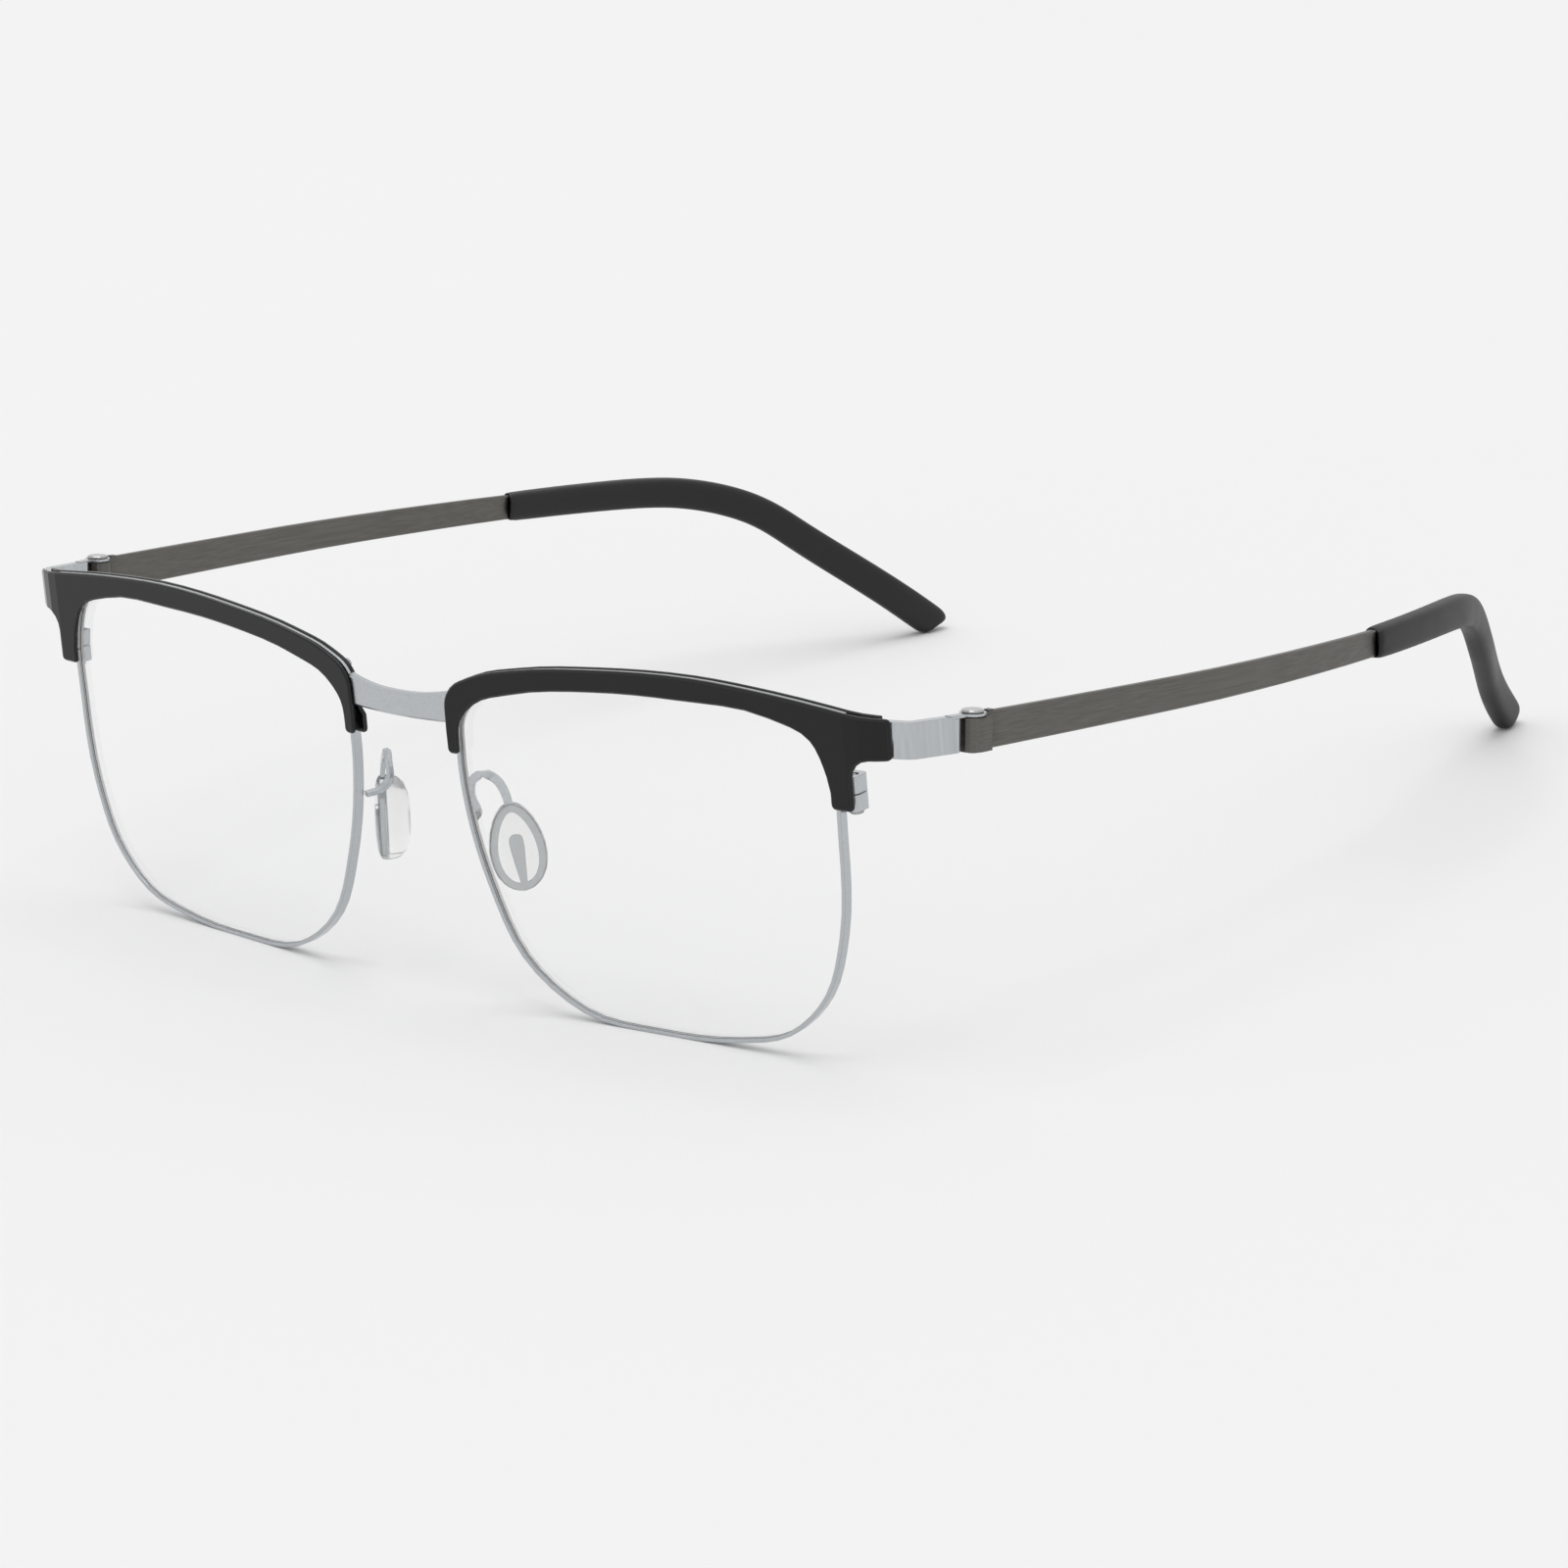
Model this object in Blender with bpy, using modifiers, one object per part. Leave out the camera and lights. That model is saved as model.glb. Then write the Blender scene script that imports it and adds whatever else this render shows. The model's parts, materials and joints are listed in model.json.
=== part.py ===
"""Browline eyeglasses, built as separate pieces. Metres, +Z up, the front faces -Y.

The frame stands open on a table, on its two eyewires and its two temple tips.
Left is the wearer's left, at +X. Each left piece is modelled once and mirrored for the right.
"""

import math

import bmesh
import bpy
import numpy as np
from mathutils import Matrix, Vector

MM = 0.001

# Lenses and eyewires
LENS_WIDTH = 55.2 * MM
LENS_HEIGHT = 41.7 * MM
LENS_THICKNESS = 1.4 * MM
LENS_SETBACK = 0.2 * MM
BRIDGE_WIDTH = 18.9 * MM
RIM_WALL = 0.5 * MM
RIM_DEPTH = 1.2 * MM
GROOVE_DEPTH = 0.22 * MM
RIDGE_THICKNESS = 0.4 * MM
WRAP_ANGLE = math.radians(5.3)
TILT_ANGLE = math.radians(6.8)

# Brow: a front trim and a rear liner on a metal plate
TRIM_THICKNESS = 0.6 * MM
TRIM_ROUND = 0.2 * MM
TRIM_OVERLAP = 0.2 * MM
TRIM_LIP = 0.5 * MM
LINER_THICKNESS = 0.55 * MM
LINER_ROUND = 0.15 * MM
BROW_RISE = 2.15 * MM
BROW_DROP = 11.05 * MM
NASAL_LEG_WIDTH = 1.45 * MM
OUTER_LEG_WIDTH = 2.85 * MM
BROW_END_REACH = 7.55 * MM
BROW_END_HEIGHT = 4.9 * MM
BROW_END_BELOW_TOP = 2.2 * MM
BROW_END_SWEEP = 1.65 * MM
BROW_CORNER = 0.6 * MM
BROW_FILLET = 2.2 * MM
PLATE_INSET = 0.12 * MM
PLATE_STEP = 0.1 * MM
PLATE_THICKNESS = 0.4 * MM
LINER_END_INSET = 1.5 * MM
LINER_NOSE_REACH = 0.8 * MM

# Bridge
BRIDGE_HEIGHT = 3.1 * MM
BRIDGE_FLARE = 0.8 * MM
BRIDGE_THICKNESS = 1.2 * MM
BRIDGE_BOW = 0.9 * MM
BRIDGE_BELOW_TOP = 5.95 * MM
BRIDGE_SETBACK = 1.1 * MM

# End pieces and hinges
STRAP_THICKNESS = 1.1 * MM
STRAP_HEIGHT = 4.2 * MM
STRAP_BEND = 1.7 * MM
STRAP_SPLAY = 1.2 * MM
STRAP_RAISE = 0.25 * MM
STRAP_RISE = 0.2 * MM
HINGE_OUTSET = 2.5 * MM
HINGE_SETBACK = 10.6 * MM
HINGE_DROP = 0.6 * MM
BARREL_RADIUS = 1.75 * MM
BARREL_GAP = 0.73 * MM
EAR_RADIUS = 1.55 * MM
EAR_GRIP = 0.2 * MM
EAR_THICKNESS = 0.35 * MM
EAR_LENGTH = 1.2 * MM
PIN_RADIUS = 0.55 * MM
PIN_CAP_RADIUS = 1.3 * MM
PIN_CAP_THICKNESS = 0.3 * MM
PIN_FOOT_RADIUS = 0.85 * MM
PIN_FOOT_THICKNESS = 0.2 * MM
STOP_GAP = 0.5 * MM
STOP_LENGTH = 0.9 * MM
STOP_WIDTH = 0.8 * MM

# Temples: runs are measured backwards from the hinge pin
STRIP_THICKNESS = 1.0 * MM
STRIP_HEIGHT = 4.3 * MM
STRIP_MOUTH_HEIGHT = 3.3 * MM
STRIP_RAISE = 0.2 * MM
CORE_END_HEIGHT = 1.6 * MM
TEMPLE_BOW = 2.3 * MM
MOUTH_RUN = 73.6 * MM
BEND_RUN = 98.7 * MM
TIP_RUN = 135.9 * MM
BEND_INSET = 6.0 * MM
TIP_INSET = 25.0 * MM
TIP_DROP = 21.75 * MM
TIP_FLARE = 1.0 * MM
CORE_STOP = 11.0 * MM
SLEEVE_HEIGHT = 4.0 * MM
SLEEVE_END_HEIGHT = 4.7 * MM
SLEEVE_THICKNESS = 3.0 * MM
SLEEVE_END_ROUND = 1.6 * MM
SLEEVE_END_SKEW = 1.6 * MM

# Closing blocks, which clamp the split eyewire round the lens
BLOCK_HEIGHT = 2.0 * MM
BLOCK_WIDTH = 2.1 * MM
BLOCK_DEPTH = 2.6 * MM
BLOCK_SETBACK = 0.5 * MM
SPLIT_ABOVE_LEG = 1.7 * MM
SPLIT_GAP = 0.14 * MM

# Screws
SCREW_RADIUS = 0.5 * MM
SCREW_HEAD_RADIUS = 0.85 * MM
SCREW_HEAD_THICKNESS = 0.4 * MM
SCREW_BITE = 0.4 * MM
SLOT_WIDTH = 0.25 * MM
SLOT_DEPTH = 0.18 * MM

# Nose pads and their arms
PAD_WIDTH = 6.9 * MM
PAD_HEIGHT = 11.0 * MM
PAD_CROWN = 3.2 * MM
PAD_BACK = 1.1 * MM
PAD_TAPER = 0.12
RING_WIDTH = 6.2 * MM
RING_HEIGHT = 10.4 * MM
RING_BAND = 0.8 * MM
RING_THICKNESS = 0.6 * MM
RING_TAPER = 0.16
TONGUE_WIDTH = 0.7 * MM
TONGUE_HEAD = 1.7 * MM
TONGUE_LENGTH = 6.4 * MM
RIBBON_WIDTH = 1.0 * MM
RIBBON_THICKNESS = 0.55 * MM
PAD_OUT = 2.85 * MM
PAD_SETBACK = 5.9 * MM
PAD_BELOW_TOP = 23.85 * MM
PAD_SPLAY = math.radians(41.0)
PAD_LEAN = math.radians(5.5)
PAD_TOE = math.radians(2.9)
ARM_RISE = 4.5 * MM
ARM_OUTSET = 2.1 * MM
ARM_SETBACK = 2.3 * MM
ARM_FOOT_BELOW_TOP = 19.35 * MM

# Clearances: between fixed pieces, and between pieces that turn
FIT = 0.05 * MM
RUN = 0.08 * MM

# Roundness of curved shapes
LOOP_STEPS = 4
ARC_STEPS = 4
TURN_STEPS = 16
BEVEL_STEPS = 0
LEAST_EDGE = 0.02 * MM
WELD = 0.0001 * MM
FLAT_ANGLE = math.radians(0.05)
CREASE_ANGLE = math.radians(30.0)

# The lens opening, as shares of its width from the nose and of its height from the bottom
LENS_SHAPE = (
    (0.000, 0.740), (0.010, 0.560), (0.052, 0.355), (0.127, 0.157), (0.280, 0.023), (0.480, 0.000),
    (0.687, 0.015), (0.829, 0.062), (0.933, 0.188), (0.983, 0.366), (1.000, 0.640), (0.992, 0.830),
    (0.955, 0.932), (0.850, 0.984), (0.610, 1.000), (0.389, 0.989), (0.160, 0.946), (0.055, 0.900),
    (0.008, 0.835),
)

FINISHES = {
    "bright_metal": ((0.60, 0.61, 0.63), 0.28, 1.0),
    "gunmetal": ((0.135, 0.13, 0.12), 0.34, 1.0),
    "brow_black": ((0.018, 0.018, 0.019), 0.3, 0.0),
    "sleeve_rubber": ((0.03, 0.03, 0.031), 0.62, 0.0),
    "clear_silicone": ((0.9, 0.89, 0.87), 0.2, 0.0),
    "lens_clear": ((0.95, 0.96, 0.96), 0.03, 0.0),
    "screw_steel": ((0.5, 0.5, 0.51), 0.35, 1.0),
}

# Places worked out from the sizes above, in the plane of the left lens:
# x runs outwards from the nose, y backwards and z up
LENS_IN = BRIDGE_WIDTH / 2
LENS_OUT = LENS_IN + LENS_WIDTH
LENS_LOW = RIM_WALL
LENS_TOP = LENS_LOW + LENS_HEIGHT
LEG_LOW = LENS_TOP - BROW_DROP
BROW_TOP = LENS_TOP + BROW_RISE
BROW_END = LENS_OUT + BROW_END_REACH
BROW_END_TOP = BROW_TOP - BROW_END_BELOW_TOP
BROW_END_LOW = BROW_END_TOP - BROW_END_HEIGHT
LEG_OUT = LENS_OUT + OUTER_LEG_WIDTH
PLATE_END = LEG_OUT - BROW_CORNER
PLATE_REAR = PLATE_STEP + PLATE_THICKNESS
LINER_END = BROW_END - LINER_END_INSET
SWEEP_STATIONS = [PLATE_END + FIT + (BROW_END - PLATE_END - FIT) * share for share in (0.0, 0.34, 0.67, 1.0)]
FRONT_LEFT = Matrix.Rotation(TILT_ANGLE, 4, "X") @ Matrix.Rotation(WRAP_ANGLE, 4, "Z")
END_PLACE = FRONT_LEFT @ Vector((BROW_END, BROW_END_SWEEP, (BROW_END_TOP + BROW_END_LOW) / 2))
HINGE = END_PLACE + Vector((HINGE_OUTSET, HINGE_SETBACK, -HINGE_DROP))


# Working with outlines

def smooth(points, closed=False, steps=LOOP_STEPS):
    """A smooth curve through the points, with a few steps between each pair."""
    points = np.array(points, dtype=float)
    if closed:
        before, after = np.roll(points, 1, 0), np.roll(points, -1, 0)
    else:
        before = np.vstack([2 * points[0] - points[1], points[:-1]])
        after = np.vstack([points[1:], 2 * points[-1] - points[-2]])
    run_in = np.linalg.norm(points - before, axis=1)[:, None]
    run_out = np.linalg.norm(after - points, axis=1)[:, None]
    slope_in = (points - before) / run_in
    slope_out = (after - points) / run_out
    slopes = (slope_in * run_out + slope_out * run_in) / (run_in + run_out)
    curve = []
    for first in range(len(points) if closed else len(points) - 1):
        second = (first + 1) % len(points)
        length = run_out[first]
        for step in range(steps):
            t = step / steps
            curve.append(
                (2 * t**3 - 3 * t**2 + 1) * points[first] + (t**3 - 2 * t**2 + t) * length * slopes[first]
                + (3 * t**2 - 2 * t**3) * points[second] + (t**3 - t**2) * length * slopes[second]
            )
    if not closed:
        curve.append(points[-1])
    return np.array(curve)


def grown(loop, distance):
    """A counter-clockwise loop moved outwards by a distance."""
    ahead = np.roll(loop, -1, 0) - loop
    ahead /= np.linalg.norm(ahead, axis=1)[:, None]
    behind = np.roll(ahead, 1, 0)
    along = ahead + behind
    along /= np.linalg.norm(along, axis=1)[:, None]
    stretch = np.sum(along * ahead, axis=1)[:, None]
    outwards = np.stack([along[:, 1], -along[:, 0]], 1)
    return loop + outwards * distance / stretch


def rounded(corners):
    """A polygon from (x, y, radius) corners, with an arc at each corner that has a radius."""
    loop = []
    for index, (x, y, radius) in enumerate(corners):
        here = np.array((x, y))
        to_last = np.array(corners[index - 1][:2]) - here
        to_next = np.array(corners[(index + 1) % len(corners)][:2]) - here
        to_last /= np.linalg.norm(to_last)
        to_next /= np.linalg.norm(to_next)
        half = math.acos(np.clip(np.dot(to_last, to_next), -1.0, 1.0)) / 2
        if radius == 0.0 or half > math.radians(89.0):
            loop.append(here)
            continue
        middle = here + (to_last + to_next) / np.linalg.norm(to_last + to_next) * radius / math.sin(half)
        start = here + to_last * radius / math.tan(half) - middle
        end = here + to_next * radius / math.tan(half) - middle
        turn = math.pi - 2 * half
        for step in range(ARC_STEPS + 1):
            share = step / ARC_STEPS
            blend = start * math.sin((1 - share) * turn) + end * math.sin(share * turn)
            loop.append(middle + blend / math.sin(turn))
    apart = [np.linalg.norm(point - loop[index - 1]) > LEAST_EDGE for index, point in enumerate(loop)]
    return np.array(loop)[apart]


# Working with meshes

def at(x, y, z):
    return Matrix.Translation((x, y, z))


def closed_mesh(shape, place=Matrix()):
    """The evaluated mesh of an object, moved, welded and facing outwards. The object is removed."""
    bpy.context.view_layer.update()
    mesh = bpy.data.meshes.new_from_object(shape.evaluated_get(bpy.context.evaluated_depsgraph_get()))
    mesh.transform(place)
    source = shape.data
    bpy.data.objects.remove(shape)
    if isinstance(source, bpy.types.Curve):
        bpy.data.curves.remove(source)
    else:
        bpy.data.meshes.remove(source)
    cage = bmesh.new()
    cage.from_mesh(mesh)
    bmesh.ops.remove_doubles(cage, verts=cage.verts, dist=WELD)
    bmesh.ops.dissolve_limit(cage, angle_limit=FLAT_ANGLE, verts=cage.verts, edges=cage.edges)
    # A sliver face that was dissolved away at some sizes leaves a tiny hole, which is closed again
    bmesh.ops.holes_fill(cage, edges=[edge for edge in cage.edges if edge.is_boundary])
    bmesh.ops.recalc_face_normals(cage, faces=cage.faces)
    cage.to_mesh(mesh)
    cage.free()
    return mesh


def linked(data):
    """A temporary object in the scene that holds the data."""
    shape = bpy.data.objects.new("shape", data)
    bpy.context.scene.collection.objects.link(shape)
    return shape


def plate(loops, low, high, bevel=0.0):
    """A flat outline, with any holes, extruded along Z from low to high."""
    curve = bpy.data.curves.new("outline", "CURVE")
    curve.dimensions = "2D"
    curve.fill_mode = "BOTH"
    curve.extrude = ((high - low) / 2 - bevel) / MM
    curve.bevel_depth = bevel / MM
    curve.bevel_resolution = BEVEL_STEPS
    for loop in loops:
        spline = curve.splines.new("POLY")
        spline.points.add(len(loop) - 1)
        for point, place in zip(spline.points, grown(loop, -bevel) / MM):
            point.co = (place[0], place[1], 0.0, 1.0)
        spline.use_cyclic_u = True
    return closed_mesh(linked(curve), at(0.0, 0.0, (low + high) / 2) @ Matrix.Scale(MM, 4))


def front_plate(loops, front, rear, bevel=0.0):
    """An outline in the lens plane, extruded backwards from front to rear."""
    mesh = plate(loops, -rear, -front, bevel)
    mesh.transform(Matrix.Rotation(math.pi / 2, 4, "X"))
    return mesh


def box(low, high):
    """A block between two corners."""
    mesh = bpy.data.meshes.new("block")
    cage = bmesh.new()
    bmesh.ops.create_cube(cage, size=1.0)
    cage.to_mesh(mesh)
    cage.free()
    middle = [(a + b) / 2 for a, b in zip(low, high)]
    size = [b - a for a, b in zip(low, high)]
    mesh.transform(Matrix.Translation(middle) @ Matrix.Diagonal((*size, 1.0)))
    return mesh


def rod(radius, low, high):
    """A round bar along Z from low to high."""
    mesh = bpy.data.meshes.new("rod")
    cage = bmesh.new()
    bmesh.ops.create_cone(
        cage, cap_ends=True, segments=TURN_STEPS, radius1=radius, radius2=radius, depth=high - low
    )
    cage.to_mesh(mesh)
    cage.free()
    mesh.transform(Matrix.Translation((0.0, 0.0, (low + high) / 2)))
    return mesh


def turned(profile):
    """A turned piece about Z from (radius, height) points that run from the top down."""
    mesh = bpy.data.meshes.new("profile")
    places = [(radius, 0.0, height) for radius, height in profile]
    mesh.from_pydata(places, [(i, i + 1) for i in range(len(places) - 1)], [])
    shape = linked(mesh)
    screw = shape.modifiers.new("turn", "SCREW")
    screw.axis = "Z"
    screw.steps = TURN_STEPS
    screw.render_steps = TURN_STEPS
    screw.use_merge_vertices = True
    screw.merge_threshold = WELD
    return closed_mesh(shape)


def loft(sections):
    """A closed skin over a row of loops that have the same number of points."""
    mesh = bpy.data.meshes.new("loft")
    cage = bmesh.new()
    rings = [[cage.verts.new(place) for place in section] for section in sections]
    count = len(rings[0])
    for ring, following in zip(rings, rings[1:]):
        for i in range(count):
            j = (i + 1) % count
            cage.faces.new((ring[i], ring[j], following[j], following[i]))
    cage.faces.new(rings[0])
    cage.faces.new(rings[-1])
    bmesh.ops.recalc_face_normals(cage, faces=cage.faces)
    cage.to_mesh(mesh)
    cage.free()
    return mesh


def combined(mesh, tools, operation):
    """The mesh after a Boolean with each tool in turn. The tools are used up."""
    shape = linked(mesh)
    helpers = []
    for tool in tools:
        helper = linked(tool)
        helpers.append(helper)
        change = shape.modifiers.new(operation, "BOOLEAN")
        change.operation = operation
        change.solver = "EXACT"
        change.object = helper
    result = closed_mesh(shape)
    for helper in helpers:
        data = helper.data
        bpy.data.objects.remove(helper)
        bpy.data.meshes.remove(data)
    return result


def cut(mesh, *tools):
    return combined(mesh, tools, "DIFFERENCE")


def join(mesh, *tools):
    return combined(mesh, tools, "UNION")


def common(mesh, *tools):
    return combined(mesh, tools, "INTERSECT")


def moved(mesh, matrix):
    """The mesh itself, after a transform."""
    mesh.transform(matrix)
    return mesh


# The scene: empties that carry the pieces

for old in list(bpy.data.objects):
    bpy.data.objects.remove(old)

pieces = bpy.data.collections.new("browline_eyeglasses")
bpy.context.scene.collection.children.link(pieces)


def carrier(name, matrix, parent=None):
    """An empty that carries pieces."""
    empty = bpy.data.objects.new(name, None)
    empty.empty_display_size = 5 * MM
    pieces.objects.link(empty)
    empty.parent = parent
    empty.matrix_local = matrix
    return empty


def finish(name):
    """The Principled material of a finish, made once."""
    if name in bpy.data.materials:
        return bpy.data.materials[name]
    colour, roughness, metallic = FINISHES[name]
    material = bpy.data.materials.new(name)
    material.use_nodes = True
    shader = material.node_tree.nodes["Principled BSDF"]
    shader.inputs["Base Color"].default_value = (*colour, 1.0)
    shader.inputs["Roughness"].default_value = roughness
    shader.inputs["Metallic"].default_value = metallic
    return material


FLIP = Matrix.Diagonal((-1.0, 1.0, 1.0, 1.0))
frame = carrier("frame", Matrix())
CARRIERS = {
    "left_front": carrier("left_front", FRONT_LEFT, frame),
    "right_front": carrier("right_front", FLIP @ FRONT_LEFT @ FLIP, frame),
    "left_strap": carrier("left_strap", Matrix(), frame),
    "right_strap": carrier("right_strap", Matrix(), frame),
    "left_hinge": carrier("left_hinge", at(*HINGE), frame),
    "right_hinge": carrier("right_hinge", at(-HINGE.x, HINGE.y, HINGE.z), frame),
}


def add_piece(name, mesh, parent, finish_name):
    """A named piece on its carrier, shaded smooth with crisp edges."""
    mesh.name = name
    mesh.materials.clear()
    mesh.materials.append(finish(finish_name))
    mesh.shade_smooth()
    mesh.set_sharp_from_angle(angle=CREASE_ANGLE)
    piece = bpy.data.objects.new(name, mesh)
    pieces.objects.link(piece)
    piece.parent = parent
    return piece


def add_pair(name, mesh, carrier_name, finish_name):
    """The left piece, and the right one as its mirror image."""
    mirror_image = moved(mesh.copy(), FLIP)
    mirror_image.flip_normals()
    add_piece("right_" + name, mirror_image, CARRIERS["right_" + carrier_name], finish_name)
    return add_piece("left_" + name, mesh, CARRIERS["left_" + carrier_name], finish_name)


# Outlines in the lens plane

OPENING = smooth(
    [(LENS_IN + x * LENS_WIDTH, LENS_LOW + z * LENS_HEIGHT) for x, z in LENS_SHAPE], closed=True
)


def brow_edge():
    """The outline of the brow: up the nose side, along the top, round the end and the outer leg."""
    top_span = LENS_WIDTH + BROW_END_REACH
    top = smooth([
        (LENS_IN - NASAL_LEG_WIDTH, LEG_LOW + BROW_CORNER),
        (LENS_IN - NASAL_LEG_WIDTH, LENS_TOP - 0.63 * BROW_DROP),
        (LENS_IN - 0.81 * NASAL_LEG_WIDTH, LENS_TOP - 0.385 * BROW_DROP),
        (LENS_IN - 0.13 * NASAL_LEG_WIDTH, LENS_TOP - 0.258 * BROW_DROP),
        (LENS_IN + 0.045 * top_span, LENS_TOP - 0.122 * BROW_DROP),
        (LENS_IN + 0.155 * top_span, LENS_TOP + 0.11 * BROW_RISE),
        (LENS_IN + 0.344 * top_span, BROW_TOP - 0.27 * BROW_RISE),
        (LENS_IN + 0.57 * top_span, BROW_TOP),
        (LENS_IN + 0.75 * top_span, BROW_TOP - 0.28 * BROW_END_BELOW_TOP),
        (BROW_END - BROW_CORNER, BROW_END_TOP),
    ])
    upper = [point for point in grown(OPENING, -TRIM_OVERLAP) if point[1] > LEG_LOW + BROW_CORNER]
    split = max(range(len(upper)), key=lambda i: np.linalg.norm(upper[i] - upper[i - 1]))
    flatten = 1 - TRIM_LIP / BROW_DROP
    upper = [(x, LEG_LOW + (z - LEG_LOW) * flatten) for x, z in upper[split:] + upper[:split]]
    corners = [(x, z, 0.0) for x, z in reversed(top)]
    corners += [(LENS_IN - NASAL_LEG_WIDTH, LEG_LOW, BROW_CORNER), (upper[-1][0], LEG_LOW, BROW_CORNER)]
    corners += [(x, z, 0.0) for x, z in reversed(upper)]
    corners += [
        (upper[0][0], LEG_LOW, BROW_CORNER),
        (LEG_OUT, LEG_LOW, BROW_CORNER),
        (LEG_OUT, BROW_END_LOW, BROW_FILLET),
        (BROW_END, BROW_END_LOW, BROW_CORNER),
        (BROW_END, BROW_END_TOP, BROW_CORNER),
    ]
    return rounded(corners)


BROW = brow_edge()


def sweep(depth_mesh):
    """Bends what lies past the brow plate backwards, towards the temple."""
    cage = bmesh.new()
    cage.from_mesh(depth_mesh)
    for station in SWEEP_STATIONS[:-1]:
        everything = list(cage.verts) + list(cage.edges) + list(cage.faces)
        bmesh.ops.bisect_plane(
            cage, geom=everything, dist=WELD, plane_co=(station, 0.0, 0.0), plane_no=(1.0, 0.0, 0.0)
        )
    reach = SWEEP_STATIONS[-1] - SWEEP_STATIONS[0]
    shifts = [BROW_END_SWEEP * ((station - SWEEP_STATIONS[0]) / reach) ** 2 for station in SWEEP_STATIONS]
    for vert in cage.verts:
        vert.co.y += float(np.interp(vert.co.x, SWEEP_STATIONS, shifts))
    cage.to_mesh(depth_mesh)
    cage.free()
    return depth_mesh


FAR = LENS_WIDTH + BRIDGE_WIDTH


def rim_body():
    """The eyewire with its brow plate, before the opening is cut."""
    ring = front_plate([grown(OPENING, RIM_WALL)], 0.0, RIM_DEPTH)
    brow_plate = front_plate([grown(BROW, -PLATE_INSET)], PLATE_STEP, PLATE_REAR)
    keep = box((0.0, -FAR, LENS_TOP - BROW_DROP / 2), (PLATE_END, FAR, FAR))
    return join(ring, common(brow_plate, keep))


# Brow screws: where they stand in the lens plane
BROW_SCREWS = {
    "inner": (LENS_IN + 0.72 * NASAL_LEG_WIDTH, LENS_TOP - 1.5 * BROW_RISE),
    "outer": (LENS_OUT - 0.9 * OUTER_LEG_WIDTH, LENS_TOP - 0.1 * BROW_RISE),
}
LINER_REAR = PLATE_REAR + FIT + LINER_THICKNESS
SCREW_TIP = -SCREW_BITE


def brow_bores():
    """Cutters for the brow screws' holes, from behind the liner into the trim."""
    turn = Matrix.Rotation(math.pi / 2, 4, "X")
    return [
        moved(rod(SCREW_RADIUS + FIT, -FAR, -SCREW_TIP + FIT), at(x, 0.0, z) @ turn)
        for x, z in BROW_SCREWS.values()
    ]


SPLIT = LEG_LOW + SPLIT_ABOVE_LEG
RIDGE_FRONT = (RIM_DEPTH - RIDGE_THICKNESS) / 2
RIDGE_REAR = RIDGE_FRONT + RIDGE_THICKNESS


def make_eyewire():
    opening = front_plate([OPENING], -FAR, FAR)
    groove = front_plate([grown(OPENING, GROOVE_DEPTH)], RIDGE_FRONT - FIT, RIDGE_REAR + FIT)
    split = box((LENS_OUT - BLOCK_WIDTH, -FAR, SPLIT - SPLIT_GAP / 2), (FAR, FAR, SPLIT + SPLIT_GAP / 2))
    add_pair("eyewire", cut(rim_body(), opening, groove, split, *brow_bores()), "front", "bright_metal")


def make_lens():
    """A flat lens with a ridge round its edge, which sits in the eyewire's groove."""
    blank = front_plate([grown(OPENING, -FIT)], LENS_SETBACK, LENS_SETBACK + LENS_THICKNESS)
    ridge = front_plate([grown(OPENING, GROOVE_DEPTH - FIT)], RIDGE_FRONT, RIDGE_REAR)
    add_pair("lens", join(blank, ridge), "front", "lens_clear")


def make_brow():
    trim = front_plate([BROW], -FIT - TRIM_THICKNESS, -FIT, TRIM_ROUND)
    add_pair("brow_trim", sweep(cut(trim, *brow_bores())), "front", "brow_black")
    outline = BROW.copy()
    under_bridge = LENS_TOP - BRIDGE_BELOW_TOP - BRIDGE_HEIGHT / 2 - BROW_CORNER
    nose_side = (outline[:, 0] < LENS_IN - NASAL_LEG_WIDTH / 2) & (outline[:, 1] < under_bridge)
    outline[nose_side, 0] -= LINER_NOSE_REACH
    liner = front_plate([outline], PLATE_REAR + FIT, LINER_REAR, LINER_ROUND)
    keep = box((0.0, 0.0, 0.0), (LINER_END, FAR, FAR))
    rim = front_plate([grown(OPENING, RIM_WALL + FIT)], -FAR, FAR)
    leg = box((LENS_OUT - RIM_WALL, -FAR, 0.0), (FAR, FAR, BROW_END_LOW))
    liner = cut(common(liner, keep), rim, leg, *brow_bores())
    add_pair("brow_liner", sweep(liner), "front", "brow_black")


def screw_mesh(length):
    """A slotted screw along Z, with the underside of its head at zero and its tip below."""
    head = SCREW_HEAD_THICKNESS
    body = turned([
        (0.0, head), (SCREW_HEAD_RADIUS * 0.85, head), (SCREW_HEAD_RADIUS, head * 0.6),
        (SCREW_HEAD_RADIUS, 0.0), (SCREW_RADIUS, 0.0), (SCREW_RADIUS, SCREW_RADIUS * 0.6 - length),
        (SCREW_RADIUS * 0.5, -length), (0.0, -length),
    ])
    slot = box(
        (-SCREW_HEAD_RADIUS * 2, -SLOT_WIDTH / 2, head - SLOT_DEPTH),
        (SCREW_HEAD_RADIUS * 2, SLOT_WIDTH / 2, head * 2),
    )
    return cut(body, slot)


def make_brow_screws():
    backwards = Matrix.Rotation(-math.pi / 2, 4, "X")
    for place, (x, z) in BROW_SCREWS.items():
        seat = LINER_REAR + FIT
        shank = seat - SCREW_TIP
        screw = moved(screw_mesh(shank), at(x, seat, z) @ backwards)
        add_pair("brow_screw_" + place, screw, "front", "screw_steel")


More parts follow.
